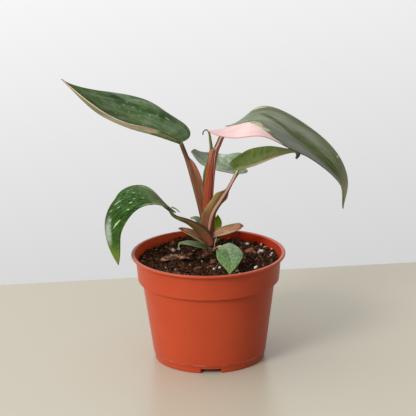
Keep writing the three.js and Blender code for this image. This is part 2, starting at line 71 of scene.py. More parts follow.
SOIL_LEVEL, SOIL_FOOT, SOIL_RADIUS = 70.6, 5.1, 49.3
SOIL_HUMPS = [  # x, y, rise, size of each swell or hollow
    (-12, 40, 4.0, 11), (-4, 7, -4.0, 9), (24, 27, 1.6, 14),
]
SOIL_LUMP, CLOD_RISE, CRUMB_RISE, SOIL_SETTLE = 0.75, 1.5, 0.9, 0.7
HOLLOW_PLACE, HOLLOW_SIZE = (-2.5, 3.5), (10.5, 9)

BLADE = 0.75          # thickness of a leaf blade
VEIN_LEAN = 0.16      # how far a side vein runs towards the tip, in blade lengths
MAIN_VEINS = 13
WING_EDGE = 0.55      # half the thickness of a sheath's wing
WELD = 1e-4
STEM = dict(x=0.5, y=21.5, foot=50, soil=71, top=83, radius=4.8)
BARK = dict(x=-23, y=-2, z=73.2, length=18, width=9, height=4.2, turn=8)

LEAVES = {
    "upper_right": dict(
        midrib=[(17.1, 13.6, 164.1), (40.1, 15.7, 166), (66.4, 22.5, 148.3), (92.2, 19.2, 122.9),
                (96.1, 23.5, 99.5)],
        half_width=29, lift_front=(-7, -5, 2, 0), lift_back=(-12.6, 12.1, 26.3, 33), curl_back=-1.7,
        lobe_front=0.19, lobe_back=0.052, widest=0.28, belly=0.36, point=0.03, lobe_rise=0.15,
        wave=(-0.5, -0.44), phase=(-0.08, 0.38), lobe_tip=(-0.15, 0.42)),
    "upper_left": dict(
        midrib=[(-18.6, 20.6, 150.9), (-34.5, 13.6, 158.4), (-56.3, 9.4, 166.3),
                (-76.9, 3.1, 179.3), (-99, 1.5, 202.4)],
        half_width=25.2, lift_front=(23, 23, 23, 21), lift_back=(42, 49, 49, 45), curl_front=-3,
        curl_back=-15.4, lobe_front=-0.09, lobe_back=0.13, widest=0.4, belly=0.29, point=0.15,
        wave=(-0.34, -1.28), phase=(0.09, 0.11)),
    "lower_left": dict(
        midrib=[(-26.4, 4.3, 106.6), (-42.4, 2.9, 118.6), (-57.6, -4.5, 115.2),
                (-66.9, -8.1, 98.2), (-62.9, -9.9, 71)],
        half_width=19.8, lift_front=(19, -8, -20, -24), lift_back=(-8, 4.5, 18, 35),
        curl_front=-7.7, curl_back=-2.1, lobe_front=-0.05, lobe_back=0.12, widest=0.47,
        belly=0.35, point=0.03),
    "middle_right": dict(
        midrib=[(21.3, 12.7, 133.2), (34, 12.3, 136.6), (48.3, 9.6, 142.7), (60.6, 7.4, 146.1),
                (62.9, 7.4, 142.2)],
        half_width=15.1, lift_front=(55, 62, 50, 20), curl_front=1, lobe_front=0.12,
        lobe_back=0.12, widest=0.34, belly=0.3, point=0.06, blunt=0.6),
    "back": dict(
        midrib=[(25.7, 39.9, 126.3), (14.4, 42, 127.7), (-2, 42.6, 131), (-11.2, 37, 139.4)],
        half_width=12.3, lift_front=(-14, -10, -5, -10), lift_back=(47, 31, 18, 27), curl_front=1,
        curl_back=-6, lobe_front=0.15, lobe_back=0.15, widest=0.39, belly=0.33, point=0.03,
        blunt=0.35, wave=(-0.1, 1.2), phase=(0, 0.06)),
    "front_small": dict(
        midrib=[(9.5, -10.5, 83.9), (13.4, -14, 82.6), (14.8, -23, 80.7), (15.1, -33.8, 77.4),
                (14.3, -42.6, 73.5)],
        half_width=9.2, lift_front=(9, 2, -6, 2), lift_back=(-1, 6, 15, 5), lobe_front=0.03,
        lobe_back=0.03, widest=0.4, belly=0.26, point=0.11, blunt=0.13, side=(-1, 0, 0.1)),
}
SMALL_LEAVES = {
    "scale_leaf_left": dict(
        midrib=[(-2.2, 14, 78.6), (-7.5, 7.6, 84), (-13.7, 3.6, 89), (-20.7, 2.3, 93.5)],
        half_width=5.1, lift_front=(0, 5, 8, 3), lift_back=(30, 34, 38, 42), widest=0.44,
        belly=0.28, point=0.04, blunt=0.4),
    "soil_leaf_left": dict(
        midrib=[(-1.5, 15, 75.4), (-7.2, 10, 78), (-12.8, 7.5, 80.2), (-17.7, 6, 81.1),
                (-20.2, 4, 81.2), (-20.9, 2, 78.6)],
        half_width=4.7, lift_front=(0, 6, 6, 5), lift_back=(17, 11, 10, 12), widest=0.44,
        belly=0.25, point=0.19),
    "scale_leaf_right": dict(
        midrib=[(2.9, 18.6, 82.2), (12.3, 16.2, 85.1), (21.7, 15.1, 88.6), (25, 10.5, 91.9)],
        half_width=5.2, lift_front=(3.5, 5.5, 5, 12), lift_back=(59, 59, 53, 50), widest=0.46,
        belly=0.32, point=0.02, blunt=0.34),
    "small_leaf_back_right": dict(
        midrib=[(2.6, 27.6, 79.5), (6, 33.6, 84.6), (7, 35.2, 89.6), (7.2, 33.2, 94)],
        half_width=3.6, lift_front=(-3, -3, -2, -1), lift_back=(29, 20, 7, -4), widest=0.52,
        belly=0.21, point=0.16, side=(-1, 0, 0)),
    "small_leaf_back_left": dict(
        midrib=[(-1.6, 24.4, 80.5), (-5.5, 30.2, 88.2), (-8.8, 34.8, 90.6), (-12.8, 38.4, 89.8)],
        half_width=7.4, lift_front=(-4, -5, -3, -1), lift_back=(0, 2, 3, 3), widest=0.46,
        belly=0.25, point=0.16),
}
STALKS = {
    "middle_right": dict(
        path=[(-0.5, 18, 77), (0.4, 17.5, 84), (1.3, 17, 90.9), (2.6, 16.5, 97), (4.8, 16, 102.5),
              (8.1, 15.6, 107.7), (11, 15.1, 112.5), (13.8, 14.5, 117.3), (17.7, 13.6, 124.1),
              (21.6, 12.8, 132.8)],
        rib=(2.4, 1.9, 1.6, 1.4, 1.3, 1.25, 1.2, 1.2, 1.2, 1.2),
        left=(4.2, 5.6, 6.6, 6.9, 6.1, 5.9, 5.8, 1.4, 1.2, 1.2),
        right=(2.6, 2.5, 2.3, 2.1, 2.2, 2.1, 3.2, 1.8, 1.2, 1.2), cup=0.8),
    "lower_left": dict(
        path=[(1.8, 15.6, 76.2), (0, 14.6, 81), (-3.9, 13, 86.8), (-9.1, 11, 92.2),
              (-14.3, 9.2, 96.1), (-19, 7.4, 98.6), (-22.5, 6.2, 100.6), (-24.8, 5.1, 103),
              (-26.2, 4.4, 105.8)],
        rib=(2.6, 2.4, 2.2, 1.9, 1.6, 1.4, 1.25, 1.2, 1.2),
        left=(3.0, 3.9, 4.0, 3.0, 2.1, 1.6, 1.25, 1.2, 1.2),
        right=(3.0, 3.7, 3.6, 2.7, 1.9, 1.5, 1.25, 1.2, 1.2), side=(-0.5, 0, -0.9)),
    "upper_right": dict(
        path=[(0.5, 25, 75), (1.1, 24.3, 92), (1.9, 22.2, 107.5), (2.8, 20.4, 119.5),
              (3.8, 19.2, 129), (5, 17.8, 137.5), (6.2, 16.7, 144.4), (6.9, 16.2, 147.2),
              (8.3, 15.8, 150.4), (11, 14.7, 156.5), (16.8, 13.8, 163)],
        rib=(2.6, 2.3, 2.1, 2.0, 1.9, 1.9, 2.0, 2.05, 2.0, 1.85, 1.6),
        left=(3.5, 4.6, 4.9, 4.8, 4.8, 4.9, 4.4, 2.1, 2.0, 1.85, 1.6), cup=0.6),
    "upper_left": dict(
        path=[(-0.5, 22, 76), (-2.7, 23.6, 90), (-5.1, 23.8, 102), (-7.9, 23.3, 114),
              (-10.5, 22.7, 125), (-12.9, 22, 134.5), (-14.5, 21.5, 140), (-18.4, 20.6, 151.4)],
        rib=(2.4, 2.0, 1.9, 1.8, 1.75, 1.7, 1.65, 1.5),
        right=(3.0, 4.6, 5.8, 6.4, 6.0, 4.2, 1.65, 1.5), cup=0.6),
    "back": dict(
        path=[(0.8, 26.4, 74.5), (2.2, 29.4, 88.5), (5.9, 32.3, 98.5), (11.8, 34.6, 107.3),
              (16.6, 36.6, 114.6), (20.8, 38.6, 121), (25.2, 39.8, 125.6)],
        rib=(2.4, 1.7, 1.3, 1.15, 1.1, 1.1, 1.1), left=(4.2, 3.4, 1.3, 1.15, 1.1, 1.1, 1.1),
        right=(4.2, 2.8, 1.3, 1.15, 1.1, 1.1, 1.1), cup=-1.2),
    "front_small": dict(
        path=[(1.5, 18.5, 74.5), (1.6, 12.5, 73.4), (2.4, 7, 74.2), (4.2, 0, 78.2),
              (6.6, -5.3, 81.6), (9.2, -9.6, 83.5)],
        rib=(1.3, 0.9, 0.7, 0.65, 0.7, 0.8), side=(0, 0, 1)),
}
SPIKE = dict(
    path=[(-0.6, 24.2, 113), (-0.6, 23.8, 125), (1.6, 21.6, 136), (3.1, 19.2, 145),
          (2.6, 18.1, 152.5), (1.7, 17.4, 158.6), (-0.2, 17.1, 160.5), (-2.1, 17, 159.3),
          (-2.7, 16.9, 156.8)],
    rib=(2.0, 2.4, 2.0, 1.3, 1.0, 0.7, 0.5, 0.45, 0.4))


# -------------------------------------------------------------- small helpers
def spline(points, t):
    """A point of the smooth curve through evenly spaced points, or a value through a list."""
    last = len(points) - 1
    place = min(max(t, 0), 1) * last
    i = min(int(place), last - 1)
    w = place - i
    p1, p2 = points[i], points[i + 1]
    p0 = points[i - 1] if i else 2 * p1 - p2
    p3 = points[i + 2] if i + 2 <= last else 2 * p2 - p1
    a, b = (p2 - p0) / 2, (p3 - p1) / 2
    return p1 + a * w + (3 * (p2 - p1) - 2 * a - b) * w**2 + (2 * (p1 - p2) + a + b) * w**3


def bezier(a, b, c, d, t):
    u = 1 - t
    return u**3 * a + 3 * u * u * t * b + 3 * u * t * t * c + t**3 * d


def ease(low, high, x):
    """0 below low, 1 above high and smooth between them."""
    t = min(max((x - low) / (high - low), 0), 1)
    return t * t * (3 - 2 * t)


def bump(x, width):
    return math.exp(-((x / width) ** 2))


def heading(points, t, reach=0.02):
    """The way a curve runs at t, from its points a little before and after."""
    return (spline(points, min(t + reach, 1)) - spline(points, max(t - reach, 0))).normalized()


def square_on(side, along):
    """A side direction turned square to the way along."""
    return (side - along * along.dot(side)).normalized()


def grid(rows, columns, *layers):
    """A flat grid from -1 to 1 each way, and a layer of three numbers for each name."""
    mesh = bmesh.new()
    made = [mesh.verts.layers.float_vector.new(name) for name in layers]
    bmesh.ops.create_grid(mesh, x_segments=rows, y_segments=columns, size=1.0)
    return (mesh, *made)


def seal(mesh):
    """Welds seams and poles and turns every face outward."""
    bmesh.ops.remove_doubles(mesh, verts=mesh.verts, dist=WELD)
    bmesh.ops.recalc_face_normals(mesh, faces=mesh.faces)


def to_data(name, mesh):
    data = bpy.data.meshes.new(name)
    mesh.to_mesh(data)
    mesh.free()
    return data


def linked(name, data):
    piece = bpy.data.objects.new(name, data)
    bpy.context.collection.objects.link(piece)
    return piece


def to_object(name, mesh, finishes, nodes=(), maps=()):
    """Makes a bmesh in millimetres a smooth piece in metres that rides with the pot."""
    for map_name in maps:
        layer = mesh.loops.layers.uv.new(map_name)
        source = mesh.verts.layers.float_vector[map_name]
        for face in mesh.faces:
            for loop in face.loops:
                loop[layer].uv = loop.vert[source].xy
    bmesh.ops.scale(mesh, vec=(MM, MM, MM), verts=mesh.verts)
    for face in mesh.faces:
        face.smooth = True
    data = to_data(name, mesh)
    for finish in finishes:
        data.materials.append(finish.material)
    piece = linked(name, data)
    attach(piece, "root")
    if nodes:
        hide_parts(*nodes)
    return piece


# ------------------------------------------------------------ shader building
STUDIO = 1.25         # light that falls on the plant, where 1 shows a colour as it is


def tint(colour):
    """The light values that show as this screen colour in the studio: the usual screen curve."""
    def linear(c):
        c = c / 255
        return (c / 12.92 if c <= 0.04045 else ((c + 0.055) / 1.055) ** 2.4) / STUDIO
    return (*map(linear, colour), 1.0)


class Wire:
    """One value in a shader; arithmetic on it adds Math nodes."""

    def __init__(self, tree, socket):
        self.tree, self.socket = tree, socket

    def _math(self, operation, *terms):
        return self.tree.node("ShaderNodeMath", {"operation": operation}, dict(enumerate(terms)))

    def __add__(self, other):
        return self._math("ADD", self, other)

    def __mul__(self, other):
        return self._math("MULTIPLY", self, other)

    def __sub__(self, other):
        return self._math("SUBTRACT", self, other)

    def __rsub__(self, other):
        return self._math("SUBTRACT", other, self)

    def __truediv__(self, other):
        return self._math("DIVIDE", self, other)

    def __pow__(self, other):
        return self._math("POWER", self, other)

    __radd__, __rmul__ = __add__, __mul__

    def abs(self):
        return self._math("ABSOLUTE", self)

    def sine(self):
        return self._math("SINE", self)

    def most(self, other):
        return self._math("MAXIMUM", self, other)

    def ramp(self, low, high, curve="LINEAR"):
        """A rise from 0 at low to 1 at high."""
        settings = {"interpolation_type": curve}
        return self.tree.node("ShaderNodeMapRange", settings, {0: self, 1: low, 2: high})

    def over(self, low, high):
        """A mask that rises smoothly from 0 at low to 1 at high; low may be the larger."""
        if low < high:
            return self.ramp(low, high, "SMOOTHSTEP")
        return 1 - self.ramp(high, low, "SMOOTHSTEP")

    def near(self, centre, width):
        """A soft stripe mask, 1 at centre and 0 from width away."""
        return (self - centre).abs().over(width, 0)


class Nodes:
    """A shader's tree of nodes."""

    def __init__(self, tree):
        self.nodes, self.links = tree.nodes, tree.links

    def node(self, kind, settings=None, inputs=None, output=0):
        """Adds a node, sets it up, wires or fills its sockets and gives one output."""
        made = self.nodes.new(kind)
        for key, value in (settings or {}).items():
            setattr(made, key, value)
        for key, value in (inputs or {}).items():
            if isinstance(value, Wire):
                self.links.new(value.socket, made.inputs[key])
            else:
                made.inputs[key].default_value = value
        return Wire(self, made.outputs[output])

    def axes(self, vector, count=3):
        """The numbers of a vector."""
        return [self.node("ShaderNodeSeparateXYZ", None, {0: vector}, i) for i in range(count)]


class Finish(Nodes):
    """A procedural material round one Principled shader, and the colour painted on it so far."""

    def __init__(self, name, **constants):
        self.material = bpy.data.materials.new(name)
        self.material.use_nodes = True
        super().__init__(self.material.node_tree)
        self.shader = self.nodes["Principled BSDF"]
        self.colour = None
        for socket, value in constants.items():
            self.shader.inputs[socket.replace("_", " ")].default_value = value

    def uv(self, name):
        """The two numbers of a piece's own map."""
        return self.axes(self.node("ShaderNodeUVMap", {"uv_map": name}), 2)

    def place(self):
        return self.node("ShaderNodeTexCoord", output="Object")

    def mix(self, mask, low, high):
        """Colour low where the mask is 0, high where it is 1; each is a wire or a screen colour."""
        low, high = (tint(c) if isinstance(c, tuple) else c for c in (low, high))
        settings = {"data_type": "RGBA", "clamp_factor": True}
        return self.node("ShaderNodeMix", settings, {0: mask, 6: low, 7: high}, 2)

    def start(self, mask, low, high):
        """Begins the painted colour."""
        self.colour = self.mix(mask, low, high)

    def lay(self, mask, colour):
        """Paints a colour over what is there, through a mask."""
        self.colour = self.mix(mask, self.colour, colour)

    def bands(self, value, stops):
        """Begins the painted colour with one that follows a value through a few stops."""
        wire = self.node("ShaderNodeValToRGB", None, {0: value})
        ramp = wire.socket.node.color_ramp.elements
        while len(ramp) < len(stops):
            ramp.new(0.5)
        for stop, (place, colour) in zip(ramp, stops):
            stop.position, stop.color = place, tint(colour)
        self.colour = wire

    def noise(self, vector, scale, detail=2, rough=0.5):
        inputs = {"Vector": vector, "Scale": scale, "Detail": detail, "Roughness": rough}
        return self.node("ShaderNodeTexNoise", None, inputs)

    def mottle(self, scale, detail=2, rough=0.5):
        """Noise through the piece itself, in grains a metre."""
        return self.noise(self.place(), scale, detail, rough)

    def streaks(self, place, detail=2, rough=0.5):
        """Noise over two or three numbers, drawn out along the one that grows least."""
        vector = self.node("ShaderNodeCombineXYZ", None, dict(enumerate(place)))
        return self.noise(vector, 1, detail, rough)

    def spot(self, x, y, centre, size, blur=0.5, ragged=None):
        """A mask of an oval round centre, with a soft or ragged rim."""
        away = ((x - centre[0]) / size[0]) ** 2 + ((y - centre[1]) / size[1]) ** 2
        if ragged is not None:
            away = away + ragged
        return away.over(1 + blur, 1 - blur)

    def stroke(self, x, y, ends, wide, size, ragged):
        """A mask of a thin stroke between two places on a flat leaf of this size in mm."""
        (x1, y1), (x2, y2) = ends
        run = Vector(((x2 - x1) * size[0], (y2 - y1) * size[1]))
        turn = run.normalized()
        a = (x - (x1 + x2) / 2) * size[0]
        b = (y - (y1 + y2) / 2) * size[1]
        along, across = a * turn.x + b * turn.y, b * turn.x - a * turn.y
        return self.spot(along, across, (0, 0), (run.length / 2, wide / 2), 0.45, ragged)

    def strokes(self, x, y, marks, size, ragged):
        """A mask of several strokes, each given by its ends and width."""
        masks = [self.stroke(x, y, ends, wide, size, ragged) for *ends, wide in marks]
        mask = masks[0]
        for other in masks[1:]:
            mask = mask.most(other)
        return mask

    def feed(self, socket, wire):
        self.links.new(wire.socket, self.shader.inputs[socket])

    def dress(self, rough, height=None, depth=0.0):
        """Feeds the painted colour, the roughness and a relief of this depth in mm."""
        self.feed("Base Color", self.colour)
        self.feed("Roughness", rough)
        if height is not None:
            relief = {"Height": height, "Distance": depth * MM, "Strength": 1}
            self.feed("Normal", self.node("ShaderNodeBump", None, relief))
        return self


# ---------------------------------------------------------------- leaf blades
class Blade:
    """The middle surface of a leaf: a midrib, and two halves folded up from it."""

    STEPS = 200

    def __init__(self, leaf):
        self.leaf = leaf
        self.midrib = [Vector(p) for p in leaf["midrib"]]
        points = [spline(self.midrib, i / self.STEPS) for i in range(self.STEPS + 1)]
        self.run = [0.0]
        for a, b in zip(points, points[1:]):
            self.run.append(self.run[-1] + (b - a).length)
        self.length = self.run[-1]
        self.side = Vector(leaf.get("side", FRONT)).normalized()
        across = (points[-1] - points[0]).cross(self.side)
        self.way = 1 if across.z > 0 else -1

    def frame(self, x):
        """Midrib point, the way across to the front, and the way up, x lengths along."""
        want = min(max(x, 0), 1) * self.length
        i = min(max(bisect.bisect_left(self.run, want), 1), self.STEPS)
        t = (i - 1 + (want - self.run[i - 1]) / (self.run[i] - self.run[i - 1])) / self.STEPS
        along = heading(self.midrib, t)
        across = square_on(self.side, along)
        up = along.cross(across) * self.way
        back = min(x, 0) * self.length
        rise = self.leaf.get("lobe_rise", 0) * back * back / (0.1 * self.length)
        return spline(self.midrib, t) + along * back + up * rise, across, up

    def outline(self, s, front):
        """The edge's place on the leaf laid flat, s round it from the stalk to the tip."""
        leaf = self.leaf
        lobe = leaf.get("lobe_front" if front else "lobe_back", 0)
        widest, belly, point = leaf["widest"], leaf["belly"], leaf["point"]
        if s < 0.5:
            t = s * 2
            if front and "lobe_tip" in leaf:
                tip_x, tip_y = leaf["lobe_tip"]
                if t <= 1 / 3:
                    return tip_x * 3 * t, tip_y * 3 * t
                u = (3 * t - 1) / 2
                return (bezier(tip_x, tip_x + 0.04, widest - 0.22, widest, u),
                        bezier(tip_y, tip_y + 0.3, 1, 1, u))
            return bezier(0, -1.35 * lobe, -0.75 * lobe, widest, t), bezier(0, 0.34, 1, 1, t)
        t = s * 2 - 1
        return (bezier(widest, widest + belly, 1 - point, 1, t),
                bezier(1, 1, leaf.get("blunt", 0.1), 0, t))

    def place(self, s, v, front):
        """The point s round the outline and v from midrib to edge, its way up, and its place
        on the leaf laid flat: lengths along, and half widths across."""
        leaf = self.leaf
        half = leaf["half_width"]
        k = 0 if front else 1
        name = "front" if front else "back"
        ox, oy = self.outline(s, front)
        middle = s**1.25
        x = middle + (ox - middle) * v
        y = oy * v * half
        origin, across, up = self.frame(x)
        fold = math.radians(spline(leaf.get("lift_" + name, (0, 0, 0, 0)), x))
        curl = math.radians(leaf.get("curl_" + name, 0)) / half + 1e-6
        a = (math.sin(fold + curl * y) - math.sin(fold)) / curl
        n = (math.cos(fold) - math.cos(fold + curl * y)) / curl
        turn = 2 * x + leaf.get("phase", (0, 0))[k]
        n += leaf.get("wave", (0, 0))[k] * math.sin(2 * math.pi * turn) * (y / half) ** 2
        return origin + across * (a if front else -a) + up * n, up, x, y / half


def blade_piece(name, leaf, finishes, slot, rows=120, columns=22, veins=MAIN_VEINS,
                quilt=0.10, rib=1.1, groove=0.3, pucker=0.0):
    """A closed blade with a sunk midrib above, a keel below and swells between its veins."""
    blade = Blade(leaf)
    half = leaf["half_width"]
    mesh, flat, grain, rise = grid(rows, 2 * columns, "flat", "grain", "rise")
    ups = {}
    for vert in mesh.verts:
        s = (vert.co.x + 1) / 2
        front = vert.co.y <= 0
        v = abs(vert.co.y) ** 1.35
        vert.co, up, x, y = blade.place(s, v, front)
        sign = 1 if front else -1
        lean = VEIN_LEAN * v * ease(0.05, 0.5, s)
        vert[flat] = (x, sign * y, 0)
        vert[grain] = (s - lean, sign * v, 0)
        ups[vert.index] = up
    mesh.normal_update()
    facing = sum(vert.normal.dot(ups[vert.index]) for vert in mesh.verts)
    bmesh.ops.remove_doubles(mesh, verts=mesh.verts, dist=WELD)
    if facing < 0:
        bmesh.ops.reverse_faces(mesh, faces=mesh.faces)
    mesh.normal_update()
    for vert in mesh.verts:
        vert[rise] = vert.normal
    tops = mesh.verts[:]
    grown = bmesh.ops.extrude_face_region(mesh, geom=mesh.faces[:], use_keep_orig=True)
    unders = {e for e in grown["geom"] if isinstance(e, bmesh.types.BMVert)}
    for vert in tops + list(unders):
        x, y = vert[flat].x, vert[flat].y
        v = abs(vert[grain].y)
        away = math.hypot(y * half, min(x, 0) * blade.length)
        thick = BLADE / 2 * math.sqrt(1 - 0.85 * v**8)
        swell = -math.cos(2 * math.pi * veins * vert[grain].x)
        swell *= quilt * ease(0, 0.15, v) * ease(1, 0.75, v)
        swell += pucker * noise.noise(vert.co * 0.55)
        taper = 1 - min(max(x, 0), 1)
        if vert in unders:
            keel = rib * taper**1.3 * bump(away, 0.45 + 0.75 * taper)
            vert.co -= vert[rise] * (thick - swell + keel)
        else:
            sunk = groove * math.sqrt(taper) * bump(away, 0.35 + 0.5 * taper)
            vert.co += vert[rise] * (thick + swell - sunk)
    bmesh.ops.recalc_face_normals(mesh, faces=mesh.faces)
    for face in mesh.faces:
        low = sum(vert in unders for vert in face.verts)
        face.material_index = 0 if low == 0 else 1 if low == len(face.verts) else 2
    to_object(name, mesh, finishes, [name], ("flat", "grain"))


# ---------------------------------------------------------------- leaf stalks
def stalk_piece(name, stalk, finish, rings=90, around=56):
    """A stalk whose round rib carries the two thin wings of its sheath."""
    path = [Vector(p) for p in stalk["path"]]
    side = Vector(stalk.get("side", (1, 0, 0)))
    rib = stalk["rib"]
    mesh, run, wing = grid(rings, around, "run", "wing")
    for vert in mesh.verts:
        t, turn = (vert.co.x + 1) / 2, (vert.co.y + 1) / 2
        q, face = (4 * turn - 1, 1) if turn < 0.5 else (3 - 4 * turn, -1)
        along = heading(path, t, 0.01)
        across = square_on(side, along)
        out = across.cross(along)
        if out.y > 0:
            out.negate()
        round_off = math.sqrt(max(1 - ease(0.03, 0, t) ** 2, 0))
        round_off *= math.sqrt(max(1 - ease(0.985, 1, t) ** 2, 0))
        r = max(spline(rib, t), 0.3)
        reach = max(spline(stalk.get("left" if q < 0 else "right", rib), t), r)
        u = reach * math.sin(abs(q) * math.pi / 2)
        k = r / reach
        body = k + (1 - k) * bump(u, r)
        high = math.sqrt(max(1 - (u / reach) ** (2 * k + 5 * (1 - k)), 0))
        high *= WING_EDGE + (r - WING_EDGE) * body
        cup = stalk.get("cup", 0) * (u / reach) ** 2 * (1 - k)
        u = -u if q < 0 else u
        offset = across * u + out * (cup + face * high)
        vert.co = spline(path, t) + offset * round_off
        vert[run] = (t, q, 0)
        vert[wing] = (u, face, 0)
    seal(mesh)
    to_object(name, mesh, [finish], [name], ("run", "wing"))


# -------------------------------------------------------------------- the pot
def turned(profile, steps):
    """A closed round piece spun from a profile of radius and height."""
    mesh = bmesh.new()
    verts = [mesh.verts.new((r, 0, z)) for r, z in profile]
    edges = [mesh.edges.new(pair) for pair in zip(verts, verts[1:])]
    bmesh.ops.spin(mesh, geom=verts + edges, cent=(0, 0, 0), axis=(0, 0, 1), dvec=(0, 0, 0),
                   angle=2 * math.pi, steps=steps, use_merge=True, use_duplicate=False)
    seal(mesh)
    return mesh


def arc(centre_r, centre_z, radius, start, end, count=5):
    """Points of a rounded corner of a profile; angles in degrees from outward."""
    angles = [math.radians(start + (end - start) * i / (count - 1)) for i in range(count)]
    return [(centre_r + radius * math.cos(a), centre_z + radius * math.sin(a)) for a in angles]


def pot_profile():
    """Radius and height round half of the pot's section, from the underside's middle."""
    foot = FOOT_RADIUS - FOOT_WALL
    lip_bottom = POT_HEIGHT - LIP_DEPTH
    roll = LIP_ROLL
    return [
        (0, FOOT_HEIGHT), (foot, FOOT_HEIGHT), (foot, 0.25), (foot + 0.25, 0),
        *arc(FOOT_RADIUS, 0.9, 0.9, -90, -8), (BODY_FOOT - 0.12, FOOT_HEIGHT - 0.4),
        (BODY_FOOT, FOOT_HEIGHT), (BODY_FOOT + 0.3, FOOT_HEIGHT + 1.9),
        (BODY_FOOT + 0.62, FOOT_HEIGHT + 2.2), (BODY_FOOT + 0.72, FOOT_HEIGHT + 3),
        (BODY_TOP - 0.1, BAND_FOOT_Z - 1.2), (BODY_TOP, BAND_FOOT_Z - 0.2),
        (BODY_TOP + 0.3, BAND_FOOT_Z), (BAND_FOOT - 0.5, BAND_FOOT_Z),
        *arc(BAND_FOOT - 0.5, BAND_FOOT_Z + 0.5, 0.5, -60, 0, 4),
        (BAND_FOOT + 0.15, BAND_FOOT_Z + 2), (BAND_TOP - 0.1, lip_bottom - 1.6),
        (BAND_TOP + 0.15, lip_bottom - 0.7), (BAND_TOP + 0.8, lip_bottom - 0.1),
        *arc(LIP_RADIUS - roll, lip_bottom + roll, roll, -75, 0),
        *arc(LIP_RADIUS - roll, POT_HEIGHT - roll, roll, 0, 90),
        *arc(LIP_INNER + roll, POT_HEIGHT - roll, roll, 95, 180),
        (BAND_TOP - WALL + 0.2, lip_bottom - 1.2), (BAND_TOP - WALL, lip_bottom - 2.2),
        (BAND_FOOT - WALL, BAND_FOOT_Z + 1.2), (BODY_TOP - WALL, BAND_FOOT_Z + 0.9),
        (BODY_FOOT - WALL + 0.2, FLOOR_TOP), (0, FLOOR_TOP)]


def notch(mesh, centre):
    """Lifts the foot ring over one drainage notch, its middle at this angle."""
    half = NOTCH_WIDTH / 2 / FOOT_RADIUS
    step = 2 * math.pi / POT_STEPS
    for vert in mesh.verts:
        radius = math.hypot(vert.co.x, vert.co.y)
        if vert.co.z > FOOT_HEIGHT - 0.01 or radius < 1:
            continue
        angle = math.atan2(vert.co.y, vert.co.x) - centre
        angle = (angle + math.pi) % (2 * math.pi) - math.pi
        if abs(angle) > half + step:
            continue
        inside = abs(angle) < half
        if inside:
            vert.co.z = FOOT_HEIGHT - 0.02
        if abs(abs(angle) - half) < step:
            wall = half + (-NOTCH_GAP if inside else NOTCH_GAP)
            edge = math.copysign(wall, angle) + centre
            vert.co.x, vert.co.y = radius * math.cos(edge), radius * math.sin(edge)


def drain_cutter():
    """Round plugs where the floor has its drainage holes."""
    holes = bmesh.new()
    spots = [(0, 0, CENTRE_DRAIN)]
    for i in range(NOTCHES):
        angle = -math.pi / 4 + i * math.pi / 2
        spots.append((DRAIN_CIRCLE * math.cos(angle), DRAIN_CIRCLE * math.sin(angle),
                      DRAIN_RADIUS))
    for x, y, radius in spots:
        bmesh.ops.create_cone(holes, cap_ends=True, segments=DRAIN_STEPS, radius1=radius * MM,
                              radius2=radius * MM, depth=6 * MM,
                              matrix=Matrix.Translation((x * MM, y * MM, FOOT_HEIGHT * MM)))
    return linked("drain_cutter", to_data("drain_cutter", holes))


def pot_piece(finish, inner_finish):
    mesh = turned(pot_profile(), POT_STEPS)
    for i in range(NOTCHES):
        shift = NOTCH_SHIFT / FOOT_RADIUS if i == 0 else 0
        notch(mesh, -math.pi / 2 + i * 2 * math.pi / NOTCHES + shift)
    # The inner wall's faces take the second finish, which carries painted light and shade.
    for face in mesh.faces:
        middle = face.calc_center_median()
        inward = face.normal.xy.dot(middle.xy) < -0.5 * middle.xy.length
        if inward and BAND_FOOT_Z < middle.z < POT_HEIGHT - 0.6:
            face.material_index = 1
    pot = to_object("nursery_pot", mesh, [finish, inner_finish], ["nursery_pot"])
    cutter = drain_cutter()
    cut = pot.modifiers.new("drains", "BOOLEAN")
    cut.operation, cut.solver, cut.object = "DIFFERENCE", "EXACT", cutter
    bpy.context.view_layer.update()
    bored = pot.evaluated_get(bpy.context.evaluated_depsgraph_get())
    bored = bpy.data.meshes.new_from_object(bored)
    pot.modifiers.clear()
    pot.data = bored
    bpy.data.objects.remove(cutter)
    sharpen(pot)


def sharpen(piece):
    """Keeps shading smooth except over crisp edges."""
    mesh = bmesh.new()
    mesh.from_mesh(piece.data)
    for edge in mesh.edges:
        if len(edge.link_faces) == 2 and edge.calc_face_angle(0) > math.radians(SHARP):
            edge.smooth = False
    for face in mesh.faces:
        face.smooth = True
    mesh.to_mesh(piece.data)
    mesh.free()


# -------------------------------------------------------------- soil and bark
def soil_height(x, y):
    """The soil's top in millimetres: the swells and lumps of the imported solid."""
    height = SOIL_LEVEL
    for cx, cy, rise, size in SOIL_HUMPS:
        height += rise * math.exp(-((x - cx) ** 2 + (y - cy) ** 2) / size**2)
    lumps = math.sin(0.47 * x + 1.3 * math.sin(0.23 * y)) * math.cos(0.41 * y + 0.6)
    lumps += 0.7 * math.sin(0.83 * x - 0.55 * y + 1.1) * math.sin(0.37 * x + 0.71 * y)
    return height + SOIL_LUMP * lumps


def soil_surface(x, y):
    """The dressed top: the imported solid's, broken into clods with creases between them."""
    bend = 2.2 * noise.noise(Vector((x, y, 5)) * 0.3)
    near, next_one = noise.voronoi(Vector((x + bend, y - bend, 0)) * 0.2)[0][:2]
    clod = ease(0, 0.35, next_one - near) - 0.6 * near
    crumb = noise.fractal(Vector((x, y, 3)) * 0.42, 0.8, 2.1, 5)
    return soil_height(x, y) + CLOD_RISE * clod + CRUMB_RISE * crumb - SOIL_SETTLE


